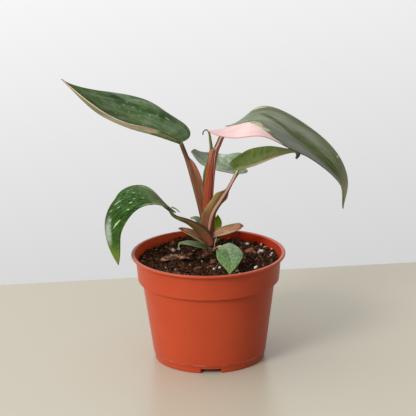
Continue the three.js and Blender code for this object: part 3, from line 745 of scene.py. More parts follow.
def soil_piece(finish, side=220):
    """The mix: a square grid drawn out to a disc for its top, and a skirt down to its foot."""
    mesh, = grid(side, side)
    for vert in mesh.verts:
        a, b = vert.co.x, vert.co.y
        x = SOIL_RADIUS * a * math.sqrt(1 - b * b / 2)
        y = SOIL_RADIUS * b * math.sqrt(1 - a * a / 2)
        vert.co = (x, y, soil_surface(x, y))
    ledge = BAND_FOOT_Z + 1.9
    for radius, height in ((BAND_FOOT - WALL - 0.3, ledge), (BODY_TOP - WALL - 0.3, ledge - 0.6),
                           (BODY_FOOT - WALL - 0.2, SOIL_FOOT)):
        rim = [e for e in mesh.edges if e.is_boundary]
        grown = bmesh.ops.extrude_edge_only(mesh, edges=rim)["geom"]
        for vert in grown:
            if isinstance(vert, bmesh.types.BMVert):
                reach = math.hypot(vert.co.x, vert.co.y)
                vert.co = (vert.co.x * radius / reach, vert.co.y * radius / reach, height)
    bmesh.ops.holes_fill(mesh, edges=[e for e in mesh.edges if e.is_boundary], sides=0)
    bmesh.ops.recalc_face_normals(mesh, faces=mesh.faces)
    to_object("potting_soil", mesh, [finish], ["potting_soil"])


WALL_CLEAR = 0.985    # loose bits end this share of the way to the wall
SMALL_BITS = 2.2      # the power that makes small bits commoner than large ones
TILT = 0.6            # how far a bit may lean, in radians


def lumps(count, faces_level):
    """A bmesh of loose round lumps, a layer for their tone, and the corners of each."""
    mesh = bmesh.new()
    tone = mesh.verts.layers.float_vector.new("tone")
    bmesh.ops.create_icosphere(mesh, subdivisions=faces_level, radius=1.0)
    each = len(mesh.verts)
    while len(mesh.verts) < count * each:
        bmesh.ops.duplicate(mesh, geom=mesh.verts[:] + mesh.edges[:] + mesh.faces[:])
    mesh.verts.ensure_lookup_table()
    bmesh.ops.delete(mesh, geom=mesh.verts[count * each:], context="VERTS")
    mesh.verts.ensure_lookup_table()
    return mesh, tone, [mesh.verts[i * each:(i + 1) * each] for i in range(count)]


def scatter(name, count, level, finish, seed, size, shape, spots=(), sink=0.3, jitter=0.25):
    """Loose bits on the soil: count lumps of random turn, the first ones at given spots."""
    draw = random.Random(seed)
    mesh, tone, groups = lumps(count, level)
    for i, group in enumerate(groups):
        lift = 0
        if i < len(spots):
            x, y, scale, *given = spots[i]
            lift = sum(given)
        else:
            reach = SOIL_RADIUS * math.sqrt(draw.random()) * WALL_CLEAR
            angle = 2 * math.pi * draw.random()
            x, y = reach * math.cos(angle), reach * math.sin(angle)
            scale = size[0] + (size[1] - size[0]) * draw.random() ** SMALL_BITS
        stretch = [draw.uniform(*pair) for pair in shape]
        turn = (Matrix.Rotation(draw.uniform(0, 2 * math.pi), 3, "Z")
                @ Matrix.Rotation(draw.uniform(-TILT, TILT), 3, "X")
                @ Matrix.Rotation(draw.uniform(-TILT, TILT), 3, "Y"))
        shade = draw.random()
        centre = Vector((x, y, soil_surface(x, y) + lift + scale * stretch[2] * (1 - sink) / 2))
        for vert in group:
            rough = 1 + draw.uniform(-jitter, jitter)
            local = Vector([c * w * scale / 2 * rough for c, w in zip(vert.co, stretch)])
            vert.co = centre + turn @ local
            vert[tone] = (shade, i / count, 0)
    to_object(name, mesh, [finish], maps=("tone",))


def bark_piece(finish):
    """The large chip: a ball drawn out long, with ridges, flakes and dents."""
    b = BARK
    mesh = bmesh.new()
    bmesh.ops.create_icosphere(mesh, subdivisions=5, radius=1.0)
    turn = Matrix.Rotation(math.radians(b["turn"]), 3, "Z")
    for vert in mesh.verts:
        q = vert.co.copy()
        rough = 1 + 0.12 * math.sin(5 * q.x + 3 * q.y) + 0.08 * math.sin(7 * q.z - 4 * q.x)
        flake = noise.ridged_multi_fractal(Vector((q.x * 1.2, q.y * 2.4, q.z * 3.4)), 0.9, 2.2,
                                           4, 0.9, 1.8)
        shell = noise.cell(Vector((q.x * 3.1, q.y * 2.3, q.z * 2.7)))
        rough *= 0.76 + 0.15 * flake + 0.3 * noise.noise(q * 2.6) + 0.16 * noise.noise(q * 6)
        rough += 0.14 * shell
        local = Vector((q.x * b["length"], q.y * b["width"], q.z * b["height"])) / 2 * rough
        vert.co = turn @ local + Vector((b["x"], b["y"], b["z"]))
    to_object("bark_chunk", mesh, [finish], ["bark_chunk"])


def stem_piece(finish, rings=6):
    """The crown's short stem, with a ring where each old leaf stood."""
    s = STEM
    r = s["radius"]
    profile = [(0, s["foot"]), (r * 0.55, s["foot"]), (r * 0.9, s["foot"] + 6),
               (r, s["soil"] - 3)]
    for i in range(rings):
        z = s["soil"] - 2 + (s["top"] - 6 - s["soil"] + 2) * i / (rings - 1)
        profile += [(r * 0.96, z - 0.5), (r * 1.02, z), (r * 0.97, z + 0.5)]
    profile += [(r * 0.8, s["top"] - 2.5), (r * 0.4, s["top"]), (0, s["top"])]
    mesh = turned(profile, 48)
    bmesh.ops.translate(mesh, vec=(s["x"], s["y"], 0), verts=mesh.verts)
    to_object("crown_stem", mesh, [finish], ["crown_stem"])


def thread_piece(name, path, radius, finish, rings=40, around=12):
    """A thin root or twig along a path, tapering to its tip."""
    points = [Vector(p) for p in path]
    mesh, run = grid(rings, around, "run")
    for vert in mesh.verts:
        t, turn = (vert.co.x + 1) / 2, math.pi * (vert.co.y + 1)
        along = heading(points, t)
        across = along.cross(Vector((0.3, 1, 0.2))).normalized()
        out = across.cross(along)
        thick = radius * (1 - 0.45 * t) * math.sqrt(max(1 - (2 * t - 1) ** 12, 0))
        thick *= 1 + 0.15 * noise.noise(Vector((t * 9, radius, 0)))
        vert.co = spline(points, t) + (across * math.cos(turn) + out * math.sin(turn)) * thick
        vert[run] = (t, turn, 0)
    seal(mesh)
    to_object(name, mesh, [finish], maps=("run",))


# ------------------------------------------------------------------- finishes
VEIN_RIPPLES = 2 * math.pi * MAIN_VEINS * 3


def leaf_look(name, paint, rough, gloss):
    """A leaf finish: paint(finish, x, y, grain, v) gives its colour, and veins its relief.
    x runs along, y across from the midrib (front is +); grain counts veins; v is 1 at the edge."""
    m = Finish(name, Specular_IOR_Level=gloss)
    x, y = m.uv("flat")
    grain, v = m.uv("grain")
    paint(m, x, y, grain, v)
    fine = m.streaks((grain * 60, v * 5), 3)
    cloud = m.mottle(90, 3)
    ripple = (grain * VEIN_RIPPLES).sine() * 0.35 + fine
    return m.dress(rough + 0.12 * (cloud - 0.5) + 0.1 * (fine - 0.5),
                   ripple + 0.3 * m.mottle(2600), 0.05)


def green_body(m, grain, v, deep, mid, pale, streak=0.5):
    """Leaf green: darker along the veins' hollows, paler between, with fine long streaks."""
    m.start(m.mottle(55, 3, 0.55).over(0.38, 0.62), deep, mid)
    m.lay(m.streaks((grain * 22, v * 1.6), 4, 0.6).over(0.5, 0.75) * streak, pale)


def margin(m, v, edge, start, strength):
    m.lay(v.abs().over(start, 1) * strength, edge)


def midrib_line(m, x, y, line, width, strength):
    m.lay(y.abs().over(width, 0) * x.over(-0.02, 0.02) * strength, line)


def paint_upper_right_top(m, x, y, grain, v):
    fan = v.abs() - 0.25 * x
    lines = m.streaks((fan * 13, x * 1.5), 5, 0.68)
    broad = m.streaks((fan * 5, x * 1.5, 3), 2)
    far = m.mix(lines.over(0.42, 0.58), (82, 99, 48), (137, 144, 112))
    far = m.mix(broad.over(0.47, 0.6) * 0.4, far, (84, 104, 46))
    far = m.mix(x.over(0.3, 0.06) * y.over(-0.15, -0.4) * 0.85, far, (80, 104, 42))
    near = m.mix(lines.over(0.42, 0.6), (73, 83, 46), (122, 128, 102))
    m.start(y.over(-0.03, 0.03), far, near)
    sheen = m.spot(x, y, (0.29, -0.2), (0.12, 0.4), 0.9, 1.6 * (lines - 0.5))
    m.lay(sheen * 0.5, (170, 175, 148))
    # Painted shade in the crease's valley and on its near side, with a painted highlight on a ridge
    # on the far side.
    crease = y + 0.46 * x.over(0.43, 0.13)
    valley_shade = crease.over(0.07, -0.05) * crease.over(-0.32, -0.14) * x.over(0.13, 0.26)
    deep = m.mix(lines.over(0.42, 0.6), (52, 70, 14), (104, 120, 60))
    m.lay((valley_shade + 0.7 * (lines - 0.5)).over(0.3, 0.8) * valley_shade.over(0, 0.1) * x.over(1, 0.7),
          deep)
    ridge_highlight = crease.near(-0.55, 0.28) * x.over(0.24, 0.36) * x.over(0.62, 0.5)
    m.lay(ridge_highlight * 0.5, (164, 168, 150))
    shade = crease.near(0.2, 0.16) * x.over(0.2, 0.32) * x.over(0.62, 0.5)
    m.lay(shade * 0.4, (84, 92, 70))
    m.lay(x.over(0.72, 0.92) * 0.85, (184, 182, 146))
    step = m.streaks((grain * 30, v * 7), 2)
    before = 0.105 + 0.13 * y + 0.2 * (y - 0.78).most(0) + 0.05 * (step - 0.5) - x
    front = y.over(-0.01, 0.02)
    cream = before.over(-0.055, -0.035) * front * (step + 0.4 * v).over(0.42, 0.56)
    cream = cream * y.over(0.66, 0.54)
    m.lay(cream, (190, 188, 142))
    dark = (before + 0.03).near(0, 0.03) * front * y.over(0.5, 0.6)
    m.lay(dark * 0.9, (56, 76, 30))
    blush = m.streaks((grain * 14, v * 3), 3)
    pink = m.mix(blush.over(0.3, 0.7), (250, 205, 201), (252, 223, 219))
    m.lay(before.over(-0.006, 0.006) * front, pink)
    spots = m.spot(x, y, (0.22, -0.93), (0.05, 0.04), 0.3, step - 0.5)
    spots = spots.most(m.spot(x, y, (0.703, -0.56), (0.007, 0.035), 0.4))
    m.lay(spots, (216, 208, 170))
    rosy = y.over(0, 0.05) * x.over(0.25, 0.17)
    m.lay(v.over(0.955, 0.985) * rosy, (226, 146, 142))
    m.lay(v.abs().over(0.945, 1) * (0.9 - 0.8 * rosy), (86, 44, 34))


def paint_underside(base, line, edge):
    def paint(m, x, y, grain, v):
        green_body(m, grain, v, *base, 0.35)
        midrib_line(m, x, y, line, 0.09, 0.9)
        margin(m, v, edge, 0.96, 0.7)
    return paint


def paint_upper_left_top(m, x, y, grain, v):
    fan = v - 0.35 * x
    lines = m.streaks((fan * 9, x * 3), 5, 0.66)
    cloud = m.streaks((x * 8, y * 3), 3, 0.6)
    m.start(lines.over(0.38, 0.62), (78, 106, 56), (122, 142, 106))
    m.lay(cloud.over(0.45, 0.6) * 0.35, (70, 106, 40))
    # Painted shade in the fold's long valley and two darker patches of it, and a painted highlight
    # along the ridges.
    wander = m.streaks((x * 11, y * 3, 4), 3)
    place = y - 0.4 * (wander - 0.5)
    valley_shade = place.near(-0.66, 0.14) * x.over(0.05, 0.12) * x.over(0.66, 0.5) * 0.6
    valley_shade = valley_shade.most(m.spot(x, y, (0.11, -0.62), (0.09, 0.26), 0.9, 2 * (lines - 0.5)) * 0.75)
    valley_shade = valley_shade.most(m.spot(x, y, (0.52, -0.78), (0.1, 0.16), 0.9, 2 * (lines - 0.5)) * 0.65)
    m.lay(valley_shade.over(0.05, 0.95), (38, 76, 10))
    ridge_highlight = place.near(-0.88, 0.12).most(place.near(-0.42, 0.08) * x.over(0.4, 0.55) * 0.6)
    ridge_highlight = ridge_highlight * x.over(0.14, 0.26) * x.over(1, 0.7)
    m.lay((ridge_highlight + 1.4 * (lines - 0.5)).over(0.25, 0.95) * 0.5, (150, 168, 142))
    gleam = m.spot(x, y, (0.09, -0.36), (0.07, 0.22), 0.9, 2.2 * (cloud - 0.5))
    m.lay(gleam * 0.55, (136, 160, 118))
    vein = (y + 0.3 * x.over(0, 0.3) - 0.08 * x.over(0.4, 0.7)).near(0, 0.02)
    m.lay(vein * 0.35, (160, 176, 116))
    size = (104, 25)
    ragged = 1.6 * (m.mottle(1900, 2) - 0.5)
    small = ((0.449, -0.71, 0.8), (0.499, -0.47, 0.6), (0.424, -0.43, 0.6), (0.261, -0.53, 1.1),
             (0.341, -0.42, 0.7), (0.335, -0.6, 0.5), (0.4, -0.62, 0.6), (0.2, -0.62, 0.8),
             (0.47, -0.6, 0.5), (0.52, -0.24, 0.6), (0.3, -0.2, 0.6))
    flecks = [((0.13, -0.65), (0.09, -0.61), 1.3)]
    flecks += [((a - 0.006, b), (a + 0.005, b - 0.02), wide) for a, b, wide in small]
    m.lay(m.strokes(x, y, flecks, size, ragged) * 0.75, (186, 208, 176))
    m.lay(v.abs().over(0.95, 1) * y.over(0, -0.1) * 0.5, (104, 100, 66))
    base = x.over(0.27, 0.22)
    m.lay(v.over(0.94, 0.99) * base, (92, 66, 34))
    pale = m.mix(cloud.over(0.45, 0.6), (226, 160, 150), (250, 222, 212))
    m.lay(v.over(0.91, 0.965) * (1 - base), pale)


def paint_upper_left_under(m, x, y, grain, v):
    streaks = m.streaks((x * 6, y * 26), 3)
    olive = m.mix(streaks.over(0.3, 0.7), (98, 120, 42), (134, 152, 84))
    step = m.streaks((grain * 26, v * 6), 3)
    tan = m.mix(streaks.over(0.3, 0.7), (176, 172, 132), (208, 200, 168))
    zone = (x + 0.06 * (step - 0.5) - 0.06 * y).over(0.235, 0.255)
    zone = zone * (1 - 0.9 * (x + 0.1 * (step - 0.5)).over(0.56, 0.68))
    m.start(zone, olive, tan)
    patch = m.spot(x, y, (0.27, 0.5), (0.05, 0.3), 0.3, step - 0.5)
    m.lay(patch, (222, 214, 172))
    rim = v.over(0.84, 0.95) * x.over(0.22, 0.26)
    m.lay(rim, (232, 174, 164))
    edge = v.over(0.88, 0.97) * x.over(0.26, 0.22)
    m.lay(edge, (104, 74, 44))
    m.lay(x.over(0.035, 0) * 0.7, (112, 96, 44))


def paint_flecked(m, x, y, grain, v):
    slant = x + 0.3 * y
    lines = m.streaks((slant * 46, y * 2.4), 4, 0.6)
    cloud = m.streaks((slant * 9, y * 1.6, 2), 2)
    m.start(lines.over(0.38, 0.62), (22, 52, 2), (60, 94, 26))
    m.lay(cloud.over(0.45, 0.62) * 0.6, (18, 50, 0))
    m.lay(x.over(0.36, 0.14) * 0.85, (124, 150, 92))
    # Painted sheen, broken up by a mottle.
    sheen_mottle = m.mottle(520, 4, 0.65)
    sheen = m.spot(x, y, (0.73, -0.36), (0.1, 0.32), 0.95, 3 * (lines - 0.5))
    sheen = sheen * (sheen_mottle + 0.6 * lines).over(0.55, 0.86)
    m.lay(sheen, (168, 182, 160))
    m.lay(x.over(0.76, 0.94) * 0.8, (110, 132, 50))
    brown = m.spot(x, y, (0.14, 0.1), (0.06, 0.45), 0.9, cloud - 0.5)
    m.lay(brown * 0.3, (120, 108, 72))
    m.lay(x.over(0.1, 0) * 0.7, (96, 104, 50))
    fleck = m.streaks((slant * 110, y * 11, 7), 2, 0.6).over(0.57, 0.63)
    crowd = m.spot(x, y, (0.34, -0.1), (0.17, 0.95), 0.8, cloud - 0.5)
    thin = m.streaks((slant * 80, y * 5, 5), 1).over(0.62, 0.69)
    m.lay(fleck * crowd * 0.8, (136, 176, 130))
    m.lay(thin * x.over(0.12, 0.25) * 0.55, (116, 156, 96))
    size = (96, 19.8)
    ragged = 1.1 * (m.mottle(2200, 1) - 0.5)
    marks = (((0.52, -0.58), (0.445, -0.37), 1.3), ((0.52, -0.1), (0.495, -0.03), 1.1),
             ((0.431, 0.3), (0.412, 0.42), 1.3), ((0.479, 0.57), (0.467, 0.67), 1.2),
             ((0.675, 0.23), (0.576, 0.58), 1.8), ((0.59, -0.61), (0.557, -0.5), 1),
             ((0.64, -0.3), (0.62, -0.2), 0.8), ((0.33, -0.3), (0.31, -0.22), 0.9),
             ((0.385, 0.2), (0.37, 0.28), 0.9), ((0.34, -0.66), (0.325, -0.6), 0.8),
             ((0.32, 0.38), (0.305, 0.45), 0.9))
    m.lay(m.strokes(x, y, marks, size, ragged) * 0.95, (172, 194, 146))
    patch = m.stroke(x, y, ((0.25, -0.78), (0.1, -0.5)), 3.4, size, ragged)
    m.lay(patch * 0.85, (176, 178, 132))
    strip = v.over(0.86, 0.94) * x.over(0.44, 0.34)
    m.lay(strip * 0.85, (160, 178, 140))
    margin(m, v, (92, 74, 40), 0.955, 0.7)
    m.lay(v.over(-0.95, -0.99) * x.over(0.55, 0.66), (186, 182, 128))


def paint_green_top(m, x, y, grain, v):
    green_body(m, grain, v, (60, 90, 36), (86, 120, 60), (112, 142, 88))
    midrib_line(m, x, y, (140, 156, 104), 0.04, 0.6)


def paint_keeled(m, x, y, grain, v):
    """The underside of the leaf that faces forward: bright green over a pale keel."""
    lines = m.streaks((grain * 40, v * 2.6), 4, 0.6)
    m.start(lines.over(0.35, 0.66), (104, 128, 56), (136, 156, 88))
    m.lay(v.near(0.28, 0.35) * 0.5, (156, 168, 116))
    m.lay(x.over(0.5, 0.75) * v.over(0.9, 0.2) * 0.6, (150, 154, 114))
    m.lay(v.abs().over(0.09, 0.03), (206, 176, 148))
    # Painted shade on the tip, which curls down under the leaf above.
    m.lay(x.over(0.9, 0.955), (40, 44, 30))
    margin(m, v, (56, 72, 28), 0.95, 0.8)


def paint_grey_green(m, x, y, grain, v):
    lines = m.streaks((grain * 24, v * 3), 4, 0.6)
    m.start(lines.over(0.38, 0.62), (136, 158, 124), (180, 192, 166))
    cloud = m.streaks((x * 6, y * 2, 5), 2)
    m.lay(cloud.over(0.42, 0.62) * 0.4, (104, 132, 92))
    m.lay(x.over(0.6, 0.8) * y.over(-0.3, 0.2) * 0.6, (196, 204, 182))
    ragged = 1.3 * (m.mottle(900, 2) - 0.5)
    m.lay(m.spot(x, y, (0.385, -0.78), (0.055, 0.17), 0.4, ragged), (214, 220, 196))
    m.lay((y + 0.06 * (x - 0.7)).near(0.02, 0.05) * x.over(0.5, 0.7) * 0.5, (196, 196, 178))
    cream = y.over(0.66, 0.84) * x.over(0.1, 0.2) * x.over(0.7, 0.5)
    m.lay(cream, (222, 212, 190))
    margin(m, v, (172, 184, 158), 0.95, 0.6)


def paint_front_small(m, x, y, grain, v):
    mottle = m.mottle(620, 5, 0.7)
    lines = m.streaks((grain * 24, v * 3), 4, 0.6)
    m.start(mottle.over(0.36, 0.66), (66, 104, 46), (122, 154, 100))
    gleam = m.spot(x, y, (0.2, -0.3), (0.3, 0.6), 0.95) * mottle.over(0.44, 0.66)
    gleam = gleam.most(m.spot(x, y, (0.6, -0.35), (0.2, 0.4), 0.95) * lines.over(0.5, 0.62))
    m.lay(gleam * 0.5, (186, 200, 176))
    m.lay(x.over(0.3, 0.02) * 0.55, (168, 188, 150))
    glints = m.mottle(1500, 2).over(0.64, 0.72)
    m.lay(glints * 0.6, (200, 212, 190))
    line = (y - 0.04 * (mottle - 0.5)).abs().over(0.045, 0) * x.over(0.5, 0.3) * 0.7
    m.lay(line, (176, 192, 156))
    m.lay(x.over(0.74, 1) * 0.8, (128, 148, 56))
    edge = m.mix(y.over(0.3, -0.3) * x.over(0.5, 0.3), (122, 148, 66), (214, 216, 194))
    margin(m, v, edge, 0.93, 0.85)


def paint_scale(m, x, y, grain, v):
    streaks = m.streaks((x * 3, y * 9), 4, 0.65)
    speck = m.mottle(1400, 2)
    m.start(streaks.over(0.38, 0.62), (130, 76, 50), (196, 140, 108))
    blotch = m.spot(x, y, (0.42, 0.6), (0.3, 0.5), 0.6, 3 * (m.mottle(330, 3) - 0.5))
    m.lay(blotch * 0.9, (196, 192, 150))
    green = (y + 0.3 * (streaks - 0.5)).over(-0.5, -0.75)
    m.lay(green * 0.7, (126, 112, 60))
    m.lay(speck.over(0.6, 0.7) * 0.5, (222, 190, 160))
    m.lay(x.over(0.2, 0) * 0.6, (206, 128, 104))
    m.lay(x.over(0.8, 0.95) * 0.8, (96, 52, 36))
    margin(m, v, (142, 144, 76), 0.92, 0.9)


def paint_scale_back(m, x, y, grain, v):
    streaks = m.streaks((x * 4, y * 14), 3)
    m.start(streaks, (128, 104, 56), (158, 128, 84))
    margin(m, v, (170, 160, 100), 0.85, 0.9)


def paint_soil_leaf(m, x, y, grain, v):
    green_body(m, grain, v, (84, 108, 62), (112, 138, 88), (150, 168, 120), 0.9)
    m.lay(m.spot(x, y, (0.55, -0.2), (0.3, 0.35), 0.8) * 0.4, (176, 190, 154))
    margin(m, v, (160, 180, 110), 0.8, 0.9)


def paint_young(m, x, y, grain, v):
    green_body(m, grain, v, (150, 184, 20), (188, 212, 46), (214, 226, 104))


def paint_grey_small(m, x, y, grain, v):
    green_body(m, grain, v, (84, 112, 62), (112, 136, 88), (134, 152, 110))
    margin(m, v, (156, 172, 128), 0.9, 0.7)


def stalk_look(name, paint):
    """A stalk finish; t runs up, q goes across (1 at the wing's edge) and u too (mm from the rib)."""
    m = Finish(name, Specular_IOR_Level=0.3)
    t, q = m.uv("run")
    u, _ = m.uv("wing")
    paint(m, t, q, u)
    cells = {"Vector": m.place(), "Scale": 1500}
    specks = m.node("ShaderNodeTexVoronoi", None, cells, "Distance").over(0.2, 0.08)
    m.lay(specks * 0.22, (206, 176, 140))
    lines = m.streaks((u * 3.2, t * 5), 3)
    return m.dress(0.42 + 0.15 * (lines - 0.5), lines, 0.14)


def streaked(m, t, u, dark, light, scale=2.2):
    lines = m.streaks((u * scale, t * 4), 4, 0.6)
    return m.mix(lines.over(0.33, 0.67), dark, light)


def paint_brown_stalk(m, t, q, u):
    m.colour = streaked(m, t, u, (98, 57, 34), (164, 111, 75))
    m.lay(t.over(0.45, 0.1) * 0.6, (146, 82, 56))
    m.lay(u.over(-0.9, -1.5) * 0.85, (62, 30, 20))
    m.lay(u.over(0.9, 1.5) * t.over(0.76, 0.84) * 0.8, (62, 30, 20))
    wing = (u - 1.7 - 5.5 * t.over(0.78, 0.3)).over(0, 0.5)
    m.lay(wing, streaked(m, t, u, (168, 92, 74), (200, 132, 116)))
    m.lay(t.over(0.74, 0.92) * 0.75, (88, 60, 34))
    m.lay(t.over(0.95, 1) * 0.8, (126, 116, 64))
    m.lay(q.over(0.93, 1) * 0.6, (216, 128, 118))


def paint_red_stalk(m, t, q, u):
    lines = m.streaks((u * 2, t * 3), 5, 0.68)
    left = m.mix(lines.over(0.4, 0.6), (136, 50, 31), (198, 102, 64))
    right = m.mix(lines.over(0.4, 0.6), (112, 40, 24), (176, 74, 50))
    m.start(u.over(-3.6, -1.2), left, right)
    olive = m.mix(lines.over(0.4, 0.6), (128, 74, 50), (190, 128, 98))
    m.lay(t.over(0.4, 0.54) * u.over(-1.6, -2.4) * 0.85, olive)
    brown = m.mix(lines.over(0.4, 0.6), (118, 62, 42), (160, 98, 74))
    m.lay(t.over(0.4, 0.5) * u.over(-2.2, -1.4), brown)
    rod = m.mix(lines.over(0.4, 0.6), (150, 108, 84), (206, 168, 146))
    rod = m.mix(u.over(0.1, 0.5), rod, (206, 112, 100))
    rod = m.mix((u - 0.15).near(0, 0.45) * 0.9, rod, (96, 44, 34))
    rod = m.mix((u + 0.7).near(0, 0.4), rod, (226, 190, 172))
    m.lay(t.over(0.67, 0.72), rod)
    drift = 1.3 - 1.4 * t.ramp(0.34, 0.55)
    pink = (u - drift).near(0, 0.42) * t.over(0.72, 0.66) * t.over(0.06, 0.14)
    m.lay(pink * 0.9, (226, 160, 144))
    rose = u.over(0.7, 1.2) * t.over(0.36, 0.46) * t.over(0.72, 0.66)
    m.lay(rose * 0.9, (214, 112, 100))
    # Dark lines beside the pink stripe, with painted shade in the grooves and along the edges.
    dark_lines_and_shade = (u - drift + 0.75).near(0, 0.38) * t.over(0.72, 0.66)
    dark_lines_and_shade = dark_lines_and_shade.most((u - 0.5).near(0, 0.32) * t.over(0.4, 0.5) * 0.8)
    groove = (u + 1.75).near(0, 0.5) * t.over(0.4, 0.5) * t.over(0.72, 0.68)
    dark_lines_and_shade = dark_lines_and_shade.most(groove).most(u.over(-1, -1.5) * t.over(0.7, 0.74))
    dark_lines_and_shade = dark_lines_and_shade.most(q.over(-0.8, -0.95)).most(q.over(0.86, 0.98) * 0.8)
    m.lay(dark_lines_and_shade * 0.85, (70, 22, 18))


def paint_tan_stalk(m, t, q, u):
    rod = streaked(m, t, u, (176, 122, 96), (226, 190, 166), 4)
    rod = m.mix(t.over(0.5, 0.2) * 0.7, rod, (196, 128, 110))
    rod = m.mix(t.over(0.92, 1), rod, (200, 190, 130))
    sheath = streaked(m, t, u, (106, 70, 36), (158, 122, 72))
    sheath = m.mix(t.over(0.32, 0.5) * u.over(-2.5, -4) * 0.6, sheath, (176, 160, 92))
    sheath = m.mix(t.over(0.42, 0.2) * 0.8, sheath, (150, 88, 68))
    sheath = m.mix(q.over(-0.88, -0.97) * 0.85, sheath, (222, 160, 136))
    m.start(u.over(-1.3, -0.9), sheath, rod)
    beside = streaked(m, t, u, (78, 38, 20), (128, 78, 48))
    m.lay(u.over(0.35, 0.75), beside)
    m.lay(u.over(-0.6, -1.1) * t.over(0.68, 0.76) * 0.8, (92, 56, 36))
    seam = (u + 1.6).near(0, 0.55) * t.over(0.75, 0.6)
    m.lay(seam * 0.65, (72, 44, 24))


def paint_thin_stalk(m, t, q, u):
    m.colour = streaked(m, t, u, (150, 84, 46), (204, 138, 86))
    m.lay(t.over(0.82, 0.95), (224, 196, 172))
    m.lay(t.over(0.62, 0.45) * 0.9, (62, 38, 26))


def paint_olive_stalk(m, t, q, u):
    m.colour = streaked(m, t, u, (90, 62, 30), (140, 110, 60))
    m.lay(t.over(0.5, 0.8), streaked(m, t, u, (96, 92, 50), (150, 146, 96)))
    m.lay(t.over(0.4, 0.05) * 0.8, (170, 94, 72))
    dark = q.over(-0.3, -0.7) * 0.75
    m.lay(dark, (60, 38, 20))
    m.lay(q.over(0.84, 0.96) * t.over(0.75, 0.6) * 0.8, (214, 150, 126))
    m.lay(q.over(0.6, 0.9) * t.over(0.7, 0.82) * 0.7, (66, 42, 26))


def paint_spike(m, t, q, u):
    m.colour = streaked(m, t, u, (98, 106, 44), (140, 140, 70))
    m.lay(t.over(0.4, 0.2), (72, 98, 32))
    m.lay(q.over(0.3, 0.6) * 0.6, (58, 40, 32))
    m.lay(t.over(0.66, 0.9), (104, 80, 66))


def pot_look():
    """Smooth plastic, with a painted highlight along the lip and the foot's bead."""
    m = Finish("terracotta_plastic", Specular_IOR_Level=0.16)
    cloud = m.mottle(30, 3)
    m.start(cloud.over(0.3, 0.7), (190, 72, 40), (196, 77, 44))
    m.lay(m.mottle(900).over(0.62, 0.8) * 0.12, (214, 110, 72))
    x, _, z = m.axes(m.place())
    height = z / MM
    # Painted highlight: a pale line round the lip's top, stronger on the sides, and one along the
    # foot's bead.
    highlight_mottle = m.mottle(220, 3)
    aside = (x.abs() / (LIP_RADIUS * MM)) ** 2
    rim = height.over(POT_HEIGHT - 0.55, POT_HEIGHT - 0.15) * (0.22 * highlight_mottle + 0.32 * aside)
    line = height.near(FOOT_HEIGHT + 2.4, 0.7) * highlight_mottle.over(0.4, 0.6) * 0.5
    m.lay(rim.most(line), (218, 146, 124))
    return m.dress(0.34 + 0.1 * (cloud - 0.5), m.mottle(1800), 0.02)


def inner_wall_look():
    """The same plastic inside, with painted light on the left and painted shade on the right."""
    m = Finish("terracotta_inner_wall", Specular_IOR_Level=0.02)
    cloud = m.mottle(60, 3)
    x, = m.axes(m.place(), 1)
    # Painted light on the left wall, painted shade on the right, a little less at the far right.
    left = m.mix(cloud, (248, 92, 50), (255, 102, 58))
    right = m.mix(cloud, (154, 37, 14), (164, 43, 18))
    m.start(x.over(-0.05, 0.03), left, right)
    m.lay(x.over(0.036, 0.049), (168, 56, 30))
    return m.dress(0.8 + 0.1 * (cloud - 0.5))


def shade_hollow(m):
    """Painted shade over the hollow in front of the crown."""
    x, y = m.axes(m.place(), 2)
    mask = m.spot(x / MM, y / MM, HOLLOW_PLACE, HOLLOW_SIZE, 0.6, m.mottle(300) - 0.5)
    m.lay(mask * 0.92, (18, 10, 5))


def soil_look():
    m = Finish("peat_potting_mix", Specular_IOR_Level=0.08)
    coarse = m.mottle(260, 4, 0.65)
    fine = m.mottle(1300, 3, 0.6)
    m.start(coarse.over(0.35, 0.65), (32, 17, 9), (76, 45, 27))
    m.lay(fine.over(0.5, 0.7) * 0.7, (126, 82, 54))
    shade_hollow(m)
    return m.dress(0.75 + 0.2 * (fine - 0.5), coarse + 0.5 * fine, 1.2)


def crumb_look(name, stops, relief=0.3, grain=1500, shaded=True):
    """Loose bits, each with a tone of its own."""
    m = Finish(name, Specular_IOR_Level=0.12)
    shade, _ = m.uv("tone")
    fine = m.mottle(grain, 3, 0.6)
    m.bands(shade * 0.62 + fine * 0.9 - 0.24, stops)
    if shaded:
        shade_hollow(m)
    return m.dress(0.8 + 0.2 * (fine - 0.5), fine, relief)


def bark_look():
    m = Finish("pine_bark")
    long = m.node("ShaderNodeMapping", None, {"Vector": m.place(), "Scale": (0.35, 1, 1)})
    flake = m.noise(long, 420, 4, 0.6)
    m.start(flake.over(0.42, 0.6), (92, 54, 34), (200, 144, 108))
    m.lay(m.mottle(900, 3).over(0.52, 0.64), (58, 34, 24))
    return m.dress(0.8 + 0.1 * (flake - 0.5), flake, 1.3)


def plain_look(name, dark, light, rough, scale):
    """A small piece's finish: two tones of one colour in a fine grain."""
    m = Finish(name)
    fine = m.mottle(scale, 3)
    m.start(fine.over(0.35, 0.65), dark, light)
    return m.dress(rough + 0.15 * (fine - 0.5), fine, 0.05)


